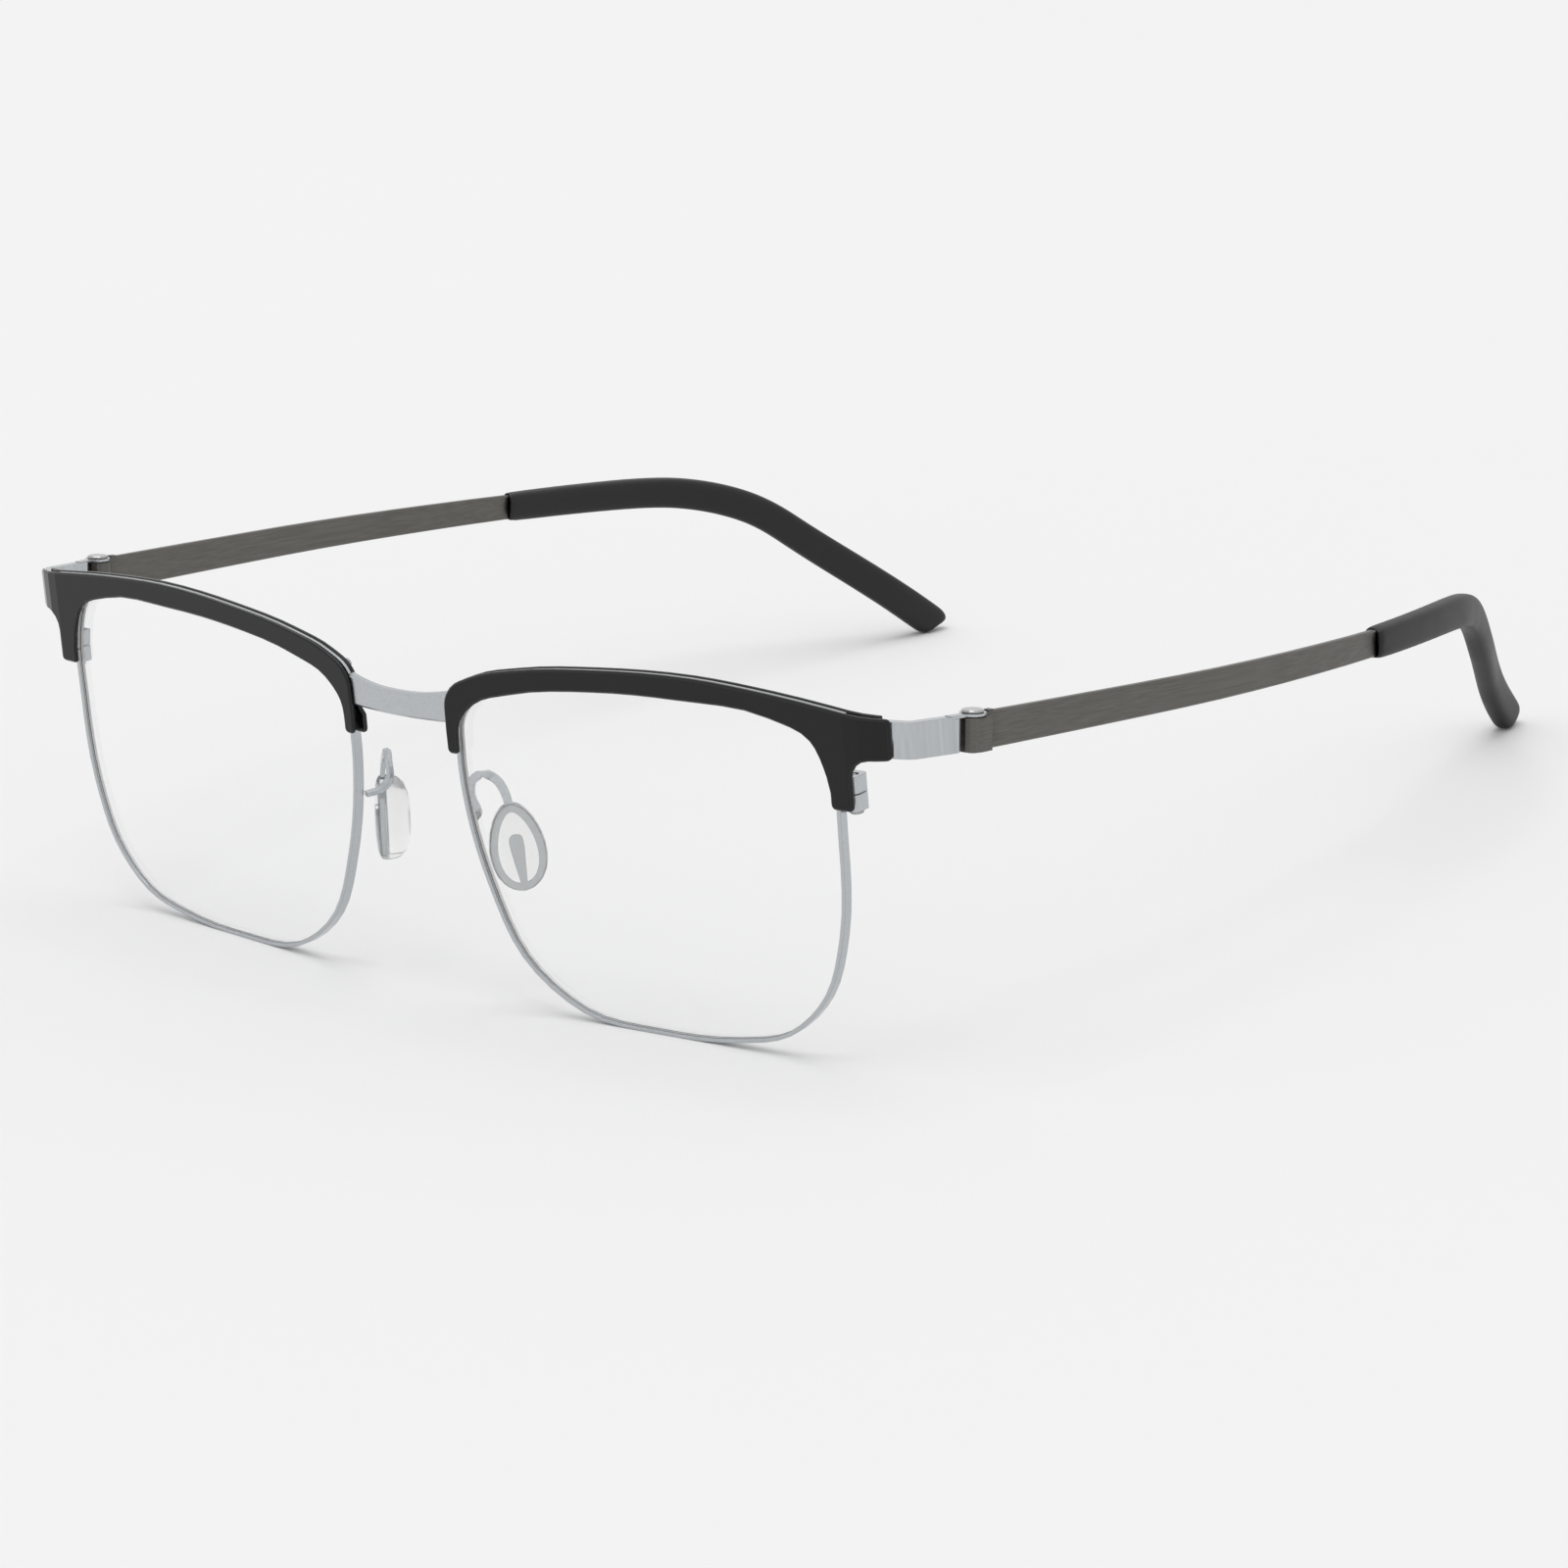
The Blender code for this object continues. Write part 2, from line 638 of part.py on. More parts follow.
def make_closing_blocks():
    inner = LENS_OUT - BLOCK_WIDTH / 2
    outer = LENS_OUT + RIM_WALL + BLOCK_WIDTH
    rear = BLOCK_SETBACK + BLOCK_DEPTH
    bore_x = LENS_OUT + RIM_WALL + BLOCK_WIDTH / 2
    bore_y = BLOCK_SETBACK + BLOCK_DEPTH / 2
    spans = {
        "upper": (SPLIT + SPLIT_GAP / 2, SPLIT + SPLIT_GAP / 2 + BLOCK_HEIGHT),
        "lower": (SPLIT - SPLIT_GAP / 2 - BLOCK_HEIGHT, SPLIT - SPLIT_GAP / 2),
    }
    for place, (low, high) in spans.items():
        outline = rounded([
            (inner, BLOCK_SETBACK, 0.0), (outer, BLOCK_SETBACK, BROW_CORNER),
            (outer, rear, BROW_CORNER), (inner, rear, 0.0),
        ])
        block = plate([outline], low, high)
        bore = moved(rod(SCREW_RADIUS + FIT, -FAR, FAR), at(bore_x, bore_y, 0.0))
        inside = front_plate([grown(OPENING, RIM_WALL + FIT)], -FAR, FAR)
        add_pair("closing_block_" + place, cut(block, inside, bore), "front", "bright_metal")
    seat = spans["lower"][0] - FIT
    shank = 2 * BLOCK_HEIGHT + SPLIT_GAP
    upside_down = Matrix.Rotation(math.pi, 4, "X")
    screw = moved(screw_mesh(shank), at(bore_x, bore_y, seat) @ upside_down)
    add_pair("closing_screw", screw, "front", "screw_steel")


def make_bridge():
    """A flared bar, bowed forwards, whose ends meet the two brows."""
    reach = LENS_IN - NASAL_LEG_WIDTH / 2
    middle = LENS_TOP - BRIDGE_BELOW_TOP
    low = middle - BRIDGE_HEIGHT / 2
    top = smooth([(-reach, BRIDGE_FLARE), (-reach / 2, BRIDGE_FLARE / 5), (0.0, 0.0),
                  (reach / 2, BRIDGE_FLARE / 5), (reach, BRIDGE_FLARE)])
    sections = []
    end_rear = reach * math.sin(WRAP_ANGLE) + BRIDGE_SETBACK
    for x, flare in top:
        rear = end_rear - BRIDGE_BOW * (1 - (x / reach) ** 2)
        front = rear - BRIDGE_THICKNESS
        high = low + BRIDGE_HEIGHT + flare
        edge = BRIDGE_THICKNESS / 4
        sections.append([
            (x, front, low + edge), (x, front + edge, low), (x, rear - edge, low), (x, rear, low + edge),
            (x, rear, high - edge), (x, rear - edge, high), (x, front + edge, high), (x, front, high - edge),
        ])
    bar = moved(loft(sections), Matrix.Rotation(TILT_ANGLE, 4, "X"))
    left = moved(front_plate([grown(BROW, FIT)], -FAR, FAR), FRONT_LEFT)
    right = moved(left.copy(), FLIP)
    right.flip_normals()
    add_piece("bridge", cut(bar, left, right), frame, "bright_metal")


# End pieces and hinges, about the hinge pin: the strap runs forwards along -Y

STRAP_END = -BARREL_RADIUS - BARREL_GAP
STRAP_LOW = STRAP_RAISE - STRAP_HEIGHT / 2
STRAP_TOP = STRAP_LOW + STRAP_HEIGHT
EAR_LOW = STRAP_TOP - EAR_GRIP
EAR_TOP = EAR_LOW + EAR_THICKNESS
BARREL_LOW = STRAP_LOW
BARREL_TOP = EAR_LOW - RUN
BARREL_HEEL = 0.8 * BARREL_RADIUS
NECK_HEIGHT = 2 * (BARREL_TOP - STRIP_RAISE) - STRIP_THICKNESS / 5


def strap_outline(half):
    """The bent strap seen from above, from under the brow to the middle of the hinge."""
    level = (BROW_END_TOP + BROW_END_LOW) / 2
    foot = FRONT_LEFT @ Vector((SWEEP_STATIONS[0], -STRAP_THICKNESS, level)) - HINGE
    turn = FRONT_LEFT @ Vector((BROW_END, BROW_END_SWEEP, level)) - HINGE
    along = np.array((turn.x - foot.x, turn.y - foot.y))
    along /= np.linalg.norm(along)
    slope = along[1] / along[0]
    rear = STRAP_THICKNESS / along[0]
    outer_corner = (half - STRAP_SPLAY, turn.y + slope * (half - STRAP_SPLAY - turn.x))
    inner_corner = (-half - STRAP_SPLAY, turn.y + rear + slope * (-half - STRAP_SPLAY - turn.x))
    return rounded([
        (foot.x, foot.y, 0.0), (*outer_corner, STRAP_BEND), (half, 0.0, 0.0),
        (-half, 0.0, 0.0), (*inner_corner, STRAP_BEND / 2), (foot.x, foot.y + 2 * STRAP_THICKNESS, 0.0),
    ])


def ear_outline():
    """A round ear with a neck that runs forwards into the end of the strap."""
    half = STRAP_THICKNESS / 2 - FIT
    root = STRAP_END - EAR_LENGTH
    shift = STRAP_SPLAY * root / HINGE_SETBACK
    start = math.asin(half / EAR_RADIUS)
    outline = [(shift - half, root), (shift + half, root)]
    for step in range(TURN_STEPS + 1):
        angle = -math.pi / 2 + start + (2 * math.pi - 2 * start) * step / TURN_STEPS
        outline.append((EAR_RADIUS * math.cos(angle), EAR_RADIUS * math.sin(angle)))
    return np.array(outline)


def make_end_piece():
    """A bent strap with a round ear at its top, which the barrel turns under."""
    far = HINGE_SETBACK + FAR
    to_hinge = at(-HINGE.x, -HINGE.y, -HINGE.z) @ FRONT_LEFT
    lean = Matrix.Identity(4)
    lean[2][1] = -STRAP_RISE / HINGE_SETBACK
    strap = moved(plate([strap_outline(STRAP_THICKNESS / 2)], STRAP_LOW, STRAP_TOP), lean)
    strap = cut(strap, box((-far, STRAP_END, -far), (far, far, far)))
    ear = plate([ear_outline()], EAR_LOW, EAR_TOP)
    bore = rod(PIN_RADIUS + FIT, -far, far)
    front_block = box((0.0, -FAR, 0.0), (BROW_END, 0.0, FAR))
    rear_block = box((0.0, PLATE_REAR, 0.0), (LINER_END + FIT, FAR, FAR))
    rim = box((0.0, -FAR, 0.0), (PLATE_END + FIT, FAR, FAR))
    room = [moved(sweep(block), to_hinge) for block in (front_block, rear_block)]
    end_piece = cut(join(strap, ear), bore, *room, moved(rim, to_hinge))
    add_pair("end_piece", moved(end_piece, at(*HINGE)), "strap", "bright_metal")


def make_hinge_pin():
    seat = EAR_TOP + FIT
    top = seat + PIN_CAP_THICKNESS
    foot_top = BARREL_LOW - RUN
    foot = foot_top - PIN_FOOT_THICKNESS
    pin = turned([
        (0.0, top), (PIN_CAP_RADIUS * 0.88, top), (PIN_CAP_RADIUS, top - PIN_CAP_THICKNESS * 0.35),
        (PIN_CAP_RADIUS, seat), (PIN_RADIUS, seat), (PIN_RADIUS, foot_top), (PIN_FOOT_RADIUS, foot_top),
        (PIN_FOOT_RADIUS * 0.8, foot), (0.0, foot),
    ])
    add_pair("hinge_pin", moved(pin, at(*HINGE)), "strap", "bright_metal")


# Temples, about the hinge pin: the strip runs backwards along +Y

def temple_route():
    """Points along the middle of the temple: a slight bow, then the bend down and inwards."""
    drop_start = (TIP_RUN - BEND_RUN) * 0.17
    slope = TIP_DROP / (TIP_RUN - BEND_RUN - drop_start * 1.2)
    inset = (TIP_INSET - BEND_INSET) / (TIP_RUN - BEND_RUN)
    after = drop_start * 2.0
    flare_run = SLEEVE_END_HEIGHT
    route = smooth([
        (0.0, 0.0, 0.0),
        (0.62 * TEMPLE_BOW, 0.21 * BEND_RUN, 0.0),
        (TEMPLE_BOW, 0.42 * BEND_RUN, 0.0),
        (0.62 * TEMPLE_BOW, 0.62 * BEND_RUN, 0.0),
        (-0.05 * BEND_INSET, 0.77 * BEND_RUN, 0.0),
        (-0.55 * BEND_INSET, 0.91 * BEND_RUN, 0.0),
        (-BEND_INSET, BEND_RUN, -0.01 * TIP_DROP),
        (-BEND_INSET - 0.95 * inset * drop_start, BEND_RUN + drop_start, -0.06 * TIP_DROP),
        (-BEND_INSET - inset * after, BEND_RUN + after, slope * (drop_start * 1.2 - after)),
        ((-TIP_INSET - BEND_INSET) / 2, (TIP_RUN + BEND_RUN) / 2,
         slope * (drop_start * 1.2 - (TIP_RUN - BEND_RUN) / 2)),
        (-TIP_INSET + inset * flare_run, TIP_RUN - flare_run, slope * flare_run - TIP_DROP),
        (TIP_FLARE - TIP_INSET, TIP_RUN, -TIP_DROP),
    ], steps=12)
    return route + (0.0, 0.0, STRIP_RAISE)


ROUTE = temple_route()


def route_frame(run):
    """The middle of the temple at a run, with its sideways and upward directions there."""
    middle = np.array([np.interp(run, ROUTE[:, 1], ROUTE[:, axis]) for axis in range(3)])
    step = 1.0 * MM
    ahead = np.array([np.interp(run + step, ROUTE[:, 1], ROUTE[:, axis]) for axis in range(3)])
    behind = np.array([np.interp(run - step, ROUTE[:, 1], ROUTE[:, axis]) for axis in range(3)])
    along = (ahead - behind) / np.linalg.norm(ahead - behind)
    sideways = np.cross(along, (0.0, 0.0, 1.0))
    sideways /= np.linalg.norm(sideways)
    return middle, sideways, np.cross(sideways, along)


def strip_section(run, extra):
    """The strip's oblong section, which tapers to the sleeve's mouth and on along the core."""
    middle, sideways, up = route_frame(run)
    runs = (EAR_RADIUS + RUN, EAR_RADIUS + STOP_GAP, MOUTH_RUN, TIP_RUN - CORE_STOP)
    height = np.interp(run, runs, (NECK_HEIGHT, STRIP_HEIGHT, STRIP_MOUTH_HEIGHT, CORE_END_HEIGHT))
    half_height = height / 2 + extra
    half_width = STRIP_THICKNESS / 2 + extra
    edge = STRIP_THICKNESS / 5
    corners = (
        (half_width, half_height - edge), (half_width - edge, half_height),
        (edge - half_width, half_height), (-half_width, half_height - edge),
        (-half_width, edge - half_height), (edge - half_width, -half_height),
        (half_width - edge, -half_height), (half_width, edge - half_height),
    )
    return [middle + sideways * x + up * z for x, z in corners]


def runs_between(first, last, count):
    return [first + (last - first) * step / count for step in range(count + 1)]


def core_runs():
    """Runs along the core: a few on the straight, more round the bend."""
    straight = runs_between(MOUTH_RUN, BEND_RUN, 5)
    return straight[:-1] + runs_between(BEND_RUN, TIP_RUN - CORE_STOP, 9)


def barrel_outline():
    """A circle about the pin, with a square heel at its outer rear side."""
    outline = [(BARREL_RADIUS, 0.0), (BARREL_RADIUS, BARREL_HEEL)]
    first = math.asin(BARREL_HEEL / BARREL_RADIUS)
    for step in range(TURN_STEPS):
        angle = first + (2 * math.pi - first) * step / TURN_STEPS
        outline.append((BARREL_RADIUS * math.cos(angle), BARREL_RADIUS * math.sin(angle)))
    return np.array(outline)


def make_temple():
    start = EAR_RADIUS + STOP_GAP
    neck = [(PIN_RADIUS + BARREL_RADIUS) / 2, EAR_RADIUS + RUN]
    runs = neck + runs_between(start, MOUTH_RUN, 11)[:-1] + core_runs()
    strip = loft([strip_section(run, 0.0) for run in runs])
    barrel = plate([barrel_outline()], BARREL_LOW, BARREL_TOP)
    side = float(route_frame(start)[0][0])
    stop = box((side - STOP_WIDTH / 2, start, 0.0), (side + STOP_WIDTH / 2, start + STOP_LENGTH, EAR_TOP))
    bore = rod(PIN_RADIUS + RUN, -STRAP_HEIGHT, STRAP_HEIGHT)
    add_pair("temple", cut(join(barrel, strip, stop), bore), "hinge", "gunmetal")


def sleeve_section(run):
    """The sleeve's rounded section, which closes in at the end of the tip."""
    middle, sideways, up = route_frame(run)
    height = np.interp(run, (MOUTH_RUN, TIP_RUN), (SLEEVE_HEIGHT, SLEEVE_END_HEIGHT))
    left = max(TIP_RUN - run, 0.0) / SLEEVE_END_ROUND
    scale = math.sqrt(1 - (1 - min(left, 1.0)) ** 2) * 0.4 + 0.6
    skew = SLEEVE_END_SKEW * max(1 - (TIP_RUN - run) / CORE_STOP, 0.0)
    along = np.cross(up, sideways)
    section = []
    count = 16
    for step in range(count):
        angle = 2 * math.pi * (step + 0.5) / count
        x = math.copysign(abs(math.cos(angle)) ** 0.6, math.cos(angle)) * SLEEVE_THICKNESS / 2
        z = math.copysign(abs(math.sin(angle)) ** 0.6, math.sin(angle)) * height / 2
        section.append(middle + (sideways * x + up * z) * scale + along * skew * z / height)
    return section


def make_temple_tip():
    runs = core_runs()
    runs += runs_between(runs[-1], TIP_RUN - SLEEVE_END_ROUND, 3)[1:]
    runs += [TIP_RUN - SLEEVE_END_ROUND * share for share in (0.6, 0.3, 0.1, 0.0)]
    sleeve = loft([sleeve_section(run) for run in runs])
    core_end = TIP_RUN - CORE_STOP + FIT * 4
    socket_runs = [MOUTH_RUN - SLEEVE_HEIGHT, *core_runs()[:-1], core_end]
    socket = loft([strip_section(run, FIT) for run in socket_runs])
    add_pair("temple_tip", cut(sleeve, socket), "hinge", "sleeve_rubber")


# Nose pads, about the middle of the pad arm's ring: x across, z up, y towards the nose

PAD_MIDDLE = Vector((LENS_IN + PAD_OUT, PAD_SETBACK, LENS_TOP - PAD_BELOW_TOP))
PAD_TURN = (
    Matrix.Rotation(PAD_SPLAY, 4, "Z")
    @ Matrix.Rotation(-PAD_LEAN, 4, "Y")
    @ Matrix.Rotation(-PAD_TOE, 4, "X")
)
PAD_PLACE = Matrix.Translation(PAD_MIDDLE) @ PAD_TURN


def egg(width, height, count=28):
    """An egg outline, wider below than above."""
    loop = []
    for step in range(count):
        angle = 2 * math.pi * step / count
        z = math.sin(angle)
        loop.append((math.cos(angle) * (1 - RING_TAPER * z) * width / 2, z * height / 2))
    return np.array(loop)


def arm_route():
    """The ribbon's middle line in the lens plane: from the eyewire up, over and down to the ring."""
    foot_z = LENS_TOP - ARM_FOOT_BELOW_TOP
    foot_x = float(np.interp(-foot_z, -OPENING[:10, 1], OPENING[:10, 0])) - RIM_WALL
    foot = np.array((foot_x, RIM_DEPTH + FIT + RIBBON_THICKNESS / 2, foot_z))
    head = np.array(PAD_PLACE @ Vector((0.0, 0.0, (RING_HEIGHT - RING_BAND) / 2)))
    crest = foot_z + ARM_RISE
    loop_x = foot_x - ARM_OUTSET
    loop_y = foot[1] + ARM_SETBACK
    across = head[0] - loop_x
    back = head[1] - loop_y
    return smooth([
        foot,
        (foot_x - 0.35 * ARM_OUTSET, foot[1] + 0.75 * ARM_SETBACK, foot_z + 0.06 * ARM_RISE),
        (loop_x, loop_y, foot_z + 0.42 * ARM_RISE),
        (loop_x + 0.06 * across, loop_y + 0.12 * back, foot_z + 0.82 * ARM_RISE),
        (loop_x + 0.33 * across, loop_y + 0.5 * back, crest),
        (loop_x + 0.66 * across, loop_y + 0.85 * back, crest - 0.16 * ARM_RISE),
        (loop_x + 0.9 * across, loop_y + 0.99 * back, crest - 0.55 * ARM_RISE),
        head,
    ], steps=3)


def arm_body(extra):
    """The ribbon, ring and tongue of a pad arm, grown by extra on every face."""
    half = RING_THICKNESS / 2 + extra
    outline = egg(RING_WIDTH, RING_HEIGHT)
    ring = front_plate([grown(outline, extra), grown(outline, -RING_BAND - extra)[::-1]], -half, half)
    root = -RING_HEIGHT / 2 + RING_BAND / 2
    tip = root + TONGUE_LENGTH
    tongue = front_plate([rounded([
        (-TONGUE_WIDTH / 2 - extra, root, 0.0), (TONGUE_WIDTH / 2 + extra, root, 0.0),
        (TONGUE_HEAD / 2 + extra, tip - TONGUE_HEAD, 0.0),
        (TONGUE_HEAD / 2 + extra, tip + extra, TONGUE_HEAD * 0.45),
        (-TONGUE_HEAD / 2 - extra, tip + extra, TONGUE_HEAD * 0.45),
        (-TONGUE_HEAD / 2 - extra, tip - TONGUE_HEAD, 0.0),
    ])], -half * 0.9, half * 0.9)
    route = arm_route()
    across = np.array(PAD_TURN @ Vector((1.0, 0.0, 0.0)))
    sections = []
    for index, middle in enumerate(route):
        along = route[min(index + 1, len(route) - 1)] - route[max(index - 1, 0)]
        along /= np.linalg.norm(along)
        flat = across * (index / len(route)) + np.array((1.0, 0.0, 0.0)) * (1 - index / len(route))
        flat -= along * np.dot(flat, along)
        flat /= np.linalg.norm(flat)
        thick = np.cross(flat, along)
        wide = flat * (RIBBON_WIDTH / 2 + extra)
        deep = thick * (RIBBON_THICKNESS / 2 + extra)
        sections.append([
            middle + wide + deep, middle - wide + deep, middle - wide - deep, middle + wide - deep,
        ])
    return join(moved(ring, PAD_PLACE), moved(tongue, PAD_PLACE), loft(sections))


def make_pad_arm():
    rim = front_plate([grown(OPENING, RIM_WALL + FIT)], -FAR, RIM_DEPTH + FIT)
    add_pair("pad_arm", cut(arm_body(0.0), rim), "front", "bright_metal")


def make_nose_pad():
    """A soft egg-shaped dome round the ring, with a slot that the arm goes in by."""
    mesh = bpy.data.meshes.new("pad")
    cage = bmesh.new()
    bmesh.ops.create_uvsphere(cage, u_segments=20, v_segments=12, radius=1.0)
    for vert in cage.verts:
        x, z, y = vert.co
        fullness = 1 / max(abs(y) ** 3 + math.hypot(x, z) ** 3, 1e-6) ** (1 / 3)
        depth = PAD_CROWN if y > 0 else PAD_BACK
        vert.co = (
            x * fullness * (1 - PAD_TAPER * z) * PAD_WIDTH / 2,
            y * fullness * depth,
            z * fullness * PAD_HEIGHT / 2,
        )
    bmesh.ops.recalc_face_normals(cage, faces=cage.faces)
    cage.to_mesh(mesh)
    cage.free()
    add_pair("nose_pad", cut(moved(mesh, PAD_PLACE), arm_body(FIT)), "front", "clear_silicone")


# The frame settles on the eyewires and the temple tips

def corners_of(name):
    """A piece's points in the frame's own coordinates."""
    piece = bpy.data.objects[name]
    matrix = piece.parent.matrix_local
    return np.array([matrix @ vert.co for vert in piece.data.vertices])


def settle():
    """Tilts the frame until both ends touch the table, and centres it over the origin."""
    front, back = corners_of("left_eyewire"), corners_of("left_temple_tip")
    low, high = 0.0, math.radians(30.0)
    for _ in range(60):
        tilt = (low + high) / 2
        lowest_front = np.min(front[:, 2] * math.cos(tilt) - front[:, 1] * math.sin(tilt))
        lowest_back = np.min(back[:, 2] * math.cos(tilt) - back[:, 1] * math.sin(tilt))
        if lowest_back > lowest_front:
            low = tilt
        else:
            high = tilt
    turn = Matrix.Rotation(-low, 4, "X")
    names = [piece.name for piece in pieces.objects if piece.type == "MESH"]
    everything = np.vstack([corners_of(name) for name in names])
    turned_points = everything @ np.array(turn.to_3x3()).T
    middle = (turned_points[:, 1].min() + turned_points[:, 1].max()) / 2
    frame.matrix_local = at(0.0, -middle, -turned_points[:, 2].min()) @ turn
    print("rest tilt in degrees", math.degrees(low))


make_eyewire()
make_lens()
make_brow()
make_brow_screws()
make_closing_blocks()
make_bridge()
make_end_piece()
make_hinge_pin()
make_temple()
make_temple_tip()
make_pad_arm()
make_nose_pad()
settle()
bpy.context.view_layer.update()
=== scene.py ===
# %% [markdown]
# # Browline eyeglasses
# Black brow trims sit on thin silver eyewires, with folding gunmetal temples, black rubber tips and clear
# silicone nose pads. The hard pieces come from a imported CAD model, already in their places. Here they get
# their finishes, the soft pieces get softer shapes, and a pale table, a light and a camera are set up.

import json
import math

import bmesh
import bpy
from mathutils import Matrix, Vector

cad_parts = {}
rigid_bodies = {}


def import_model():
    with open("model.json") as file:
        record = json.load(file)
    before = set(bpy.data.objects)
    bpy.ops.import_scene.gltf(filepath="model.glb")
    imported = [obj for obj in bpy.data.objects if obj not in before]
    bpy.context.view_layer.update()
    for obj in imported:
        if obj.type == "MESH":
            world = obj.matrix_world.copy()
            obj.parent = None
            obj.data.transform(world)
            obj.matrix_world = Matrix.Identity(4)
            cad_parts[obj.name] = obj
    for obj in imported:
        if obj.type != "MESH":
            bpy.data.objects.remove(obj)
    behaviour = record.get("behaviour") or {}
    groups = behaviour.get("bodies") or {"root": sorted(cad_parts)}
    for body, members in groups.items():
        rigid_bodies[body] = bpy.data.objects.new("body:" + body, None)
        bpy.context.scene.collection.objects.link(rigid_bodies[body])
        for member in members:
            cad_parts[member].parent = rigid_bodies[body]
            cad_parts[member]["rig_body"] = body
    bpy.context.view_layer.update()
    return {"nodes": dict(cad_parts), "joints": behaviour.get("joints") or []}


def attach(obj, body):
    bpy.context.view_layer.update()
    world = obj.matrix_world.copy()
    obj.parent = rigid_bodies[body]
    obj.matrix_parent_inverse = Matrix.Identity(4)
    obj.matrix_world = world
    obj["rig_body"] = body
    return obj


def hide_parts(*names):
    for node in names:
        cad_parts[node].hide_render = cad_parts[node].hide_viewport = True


for old in list(bpy.data.objects):
    bpy.data.objects.remove(old)
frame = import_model()
NODES = frame["nodes"]
SIDES = ("left", "right")
MM = 0.001

# %% [markdown]
# ## The camera
# A product photo like this one is taken from some way off with a long lens, so the far side of the
# frame is only a little smaller than the near side. The camera is given by where it stands, the way it
# looks and how far it leans to one side. Its axes are worked out from those angles and put straight
# into its matrix, which is clearer than three Euler angles that turn one after another.

# %% Set up the camera
CAMERA_PLACE = Vector((0.50958, -0.54273, 0.23082))
CAMERA_AZIMUTH = math.radians(43.798)
CAMERA_ELEVATION = math.radians(16.825)
CAMERA_ROLL = math.radians(4.66)
FOCAL_LENGTH_IN_MM = 139.07
NEAREST_SEEN = 10.0 * MM


def camera_axes(azimuth, elevation, roll):
    """The camera's right, up and backward directions."""
    level = Vector((math.cos(azimuth), math.sin(azimuth), 0.0))
    backward = Vector((
        math.sin(azimuth) * math.cos(elevation),
        -math.cos(azimuth) * math.cos(elevation),
        math.sin(elevation),
    ))
    upright = backward.cross(level)
    right = level * math.cos(roll) - upright * math.sin(roll)
    return right, backward.cross(right), backward


camera_data = bpy.data.cameras.new("camera")
camera_data.lens = FOCAL_LENGTH_IN_MM
camera_data.clip_start = NEAREST_SEEN
camera = bpy.data.objects.new("camera", camera_data)
bpy.context.scene.collection.objects.link(camera)
axes = camera_axes(CAMERA_AZIMUTH, CAMERA_ELEVATION, CAMERA_ROLL)
camera.matrix_world = Matrix.Translation(CAMERA_PLACE) @ Matrix(axes).transposed().to_4x4()
bpy.context.scene.camera = camera
print("camera", [round(v, 3) for v in camera.location], "lens", round(camera_data.lens, 1), "mm")

# %% [markdown]
# ## Building materials
# Each finish is a Principled shader whose colour, roughness and surface come from procedural noise, which
# needs no picture files and no unwrapping. Small helpers keep the node trees short: one makes a shader node
# group with named sockets, another places a node and fills its inputs.

# %% Helpers for node trees
FLOAT = "NodeSocketFloat"
VECTOR = "NodeSocketVector"


def new_group(name, inputs, outputs):
    """A shader node group with named sockets. Returns it with its input node and its output node."""
    group = bpy.data.node_groups.new(name, "ShaderNodeTree")
    for label, kind, value in inputs:
        socket = group.interface.new_socket(label, in_out="INPUT", socket_type=kind)
        socket.default_value = value
    for label, kind in outputs:
        group.interface.new_socket(label, in_out="OUTPUT", socket_type=kind)
    return group, group.nodes.new("NodeGroupInput"), group.nodes.new("NodeGroupOutput")


def fill(node, values):
    """Sets a node's inputs by name, where an underscore stands for a space."""
    for label, value in values.items():
        node.inputs[label.replace("_", " ")].default_value = value


def place(tree, kind, links=None, **values):
    """A node of that kind. Values set its inputs by name, and links join its inputs to other outputs."""
    node = tree.nodes.new(kind)
    fill(node, values)
    for label, output in (links or {}).items():
        tree.links.new(output, node.inputs[label])
    return node


# %% [markdown]
# ## Drawn lines
# Rolled and plated metal has fine lines along the way it was drawn. They are too fine to model, so they
# are noise that is stretched one way: the coordinates are first turned to lie along the piece, then
# multiplied by a large number across the lines and a small one along them. A second, broad noise stands
# for patches where the plating is a little duller.

# %% Node group for drawn lines


def cloud_noise(tree, where, scale):
    """Broad noise, for patches that differ a little from the rest."""
    node = place(tree, "ShaderNodeTexNoise", {"Vector": where, "Scale": scale}, Detail=4.0, Roughness=0.6)
    return node.outputs["Fac"]


lines, lines_in, lines_out = new_group(
    "Drawn lines",
    [("Tilt", FLOAT, 0.0), ("Stretch", VECTOR, (6000.0, 6000.0, 6000.0)), ("Cloud Scale", FLOAT, 120.0)],
    [("Lines", FLOAT), ("Clouds", FLOAT)],
)
where = place(lines, "ShaderNodeTexCoord").outputs["Object"]
turned = place(lines, "ShaderNodeVectorRotate", {"Vector": where, "Angle": lines_in.outputs["Tilt"]})
turned.rotation_type = "X_AXIS"
stretched = place(lines, "ShaderNodeVectorMath", {
    0: turned.outputs["Vector"], 1: lines_in.outputs["Stretch"],
})
stretched.operation = "MULTIPLY"
streaks = place(lines, "ShaderNodeTexNoise", {"Vector": stretched.outputs[0]}, Scale=1.0, Detail=3.0)
clouds = cloud_noise(lines, where, lines_in.outputs["Cloud Scale"])
lines.links.new(streaks.outputs["Fac"], lines_out.inputs["Lines"])
lines.links.new(clouds, lines_out.inputs["Clouds"])
print("made group", lines.name)

# %% [markdown]
# ## Even grain
# Moulded and sprayed surfaces have a fine grain with no direction, so this noise isn't stretched. It comes
# with the same broad clouds, for slow changes in gloss.

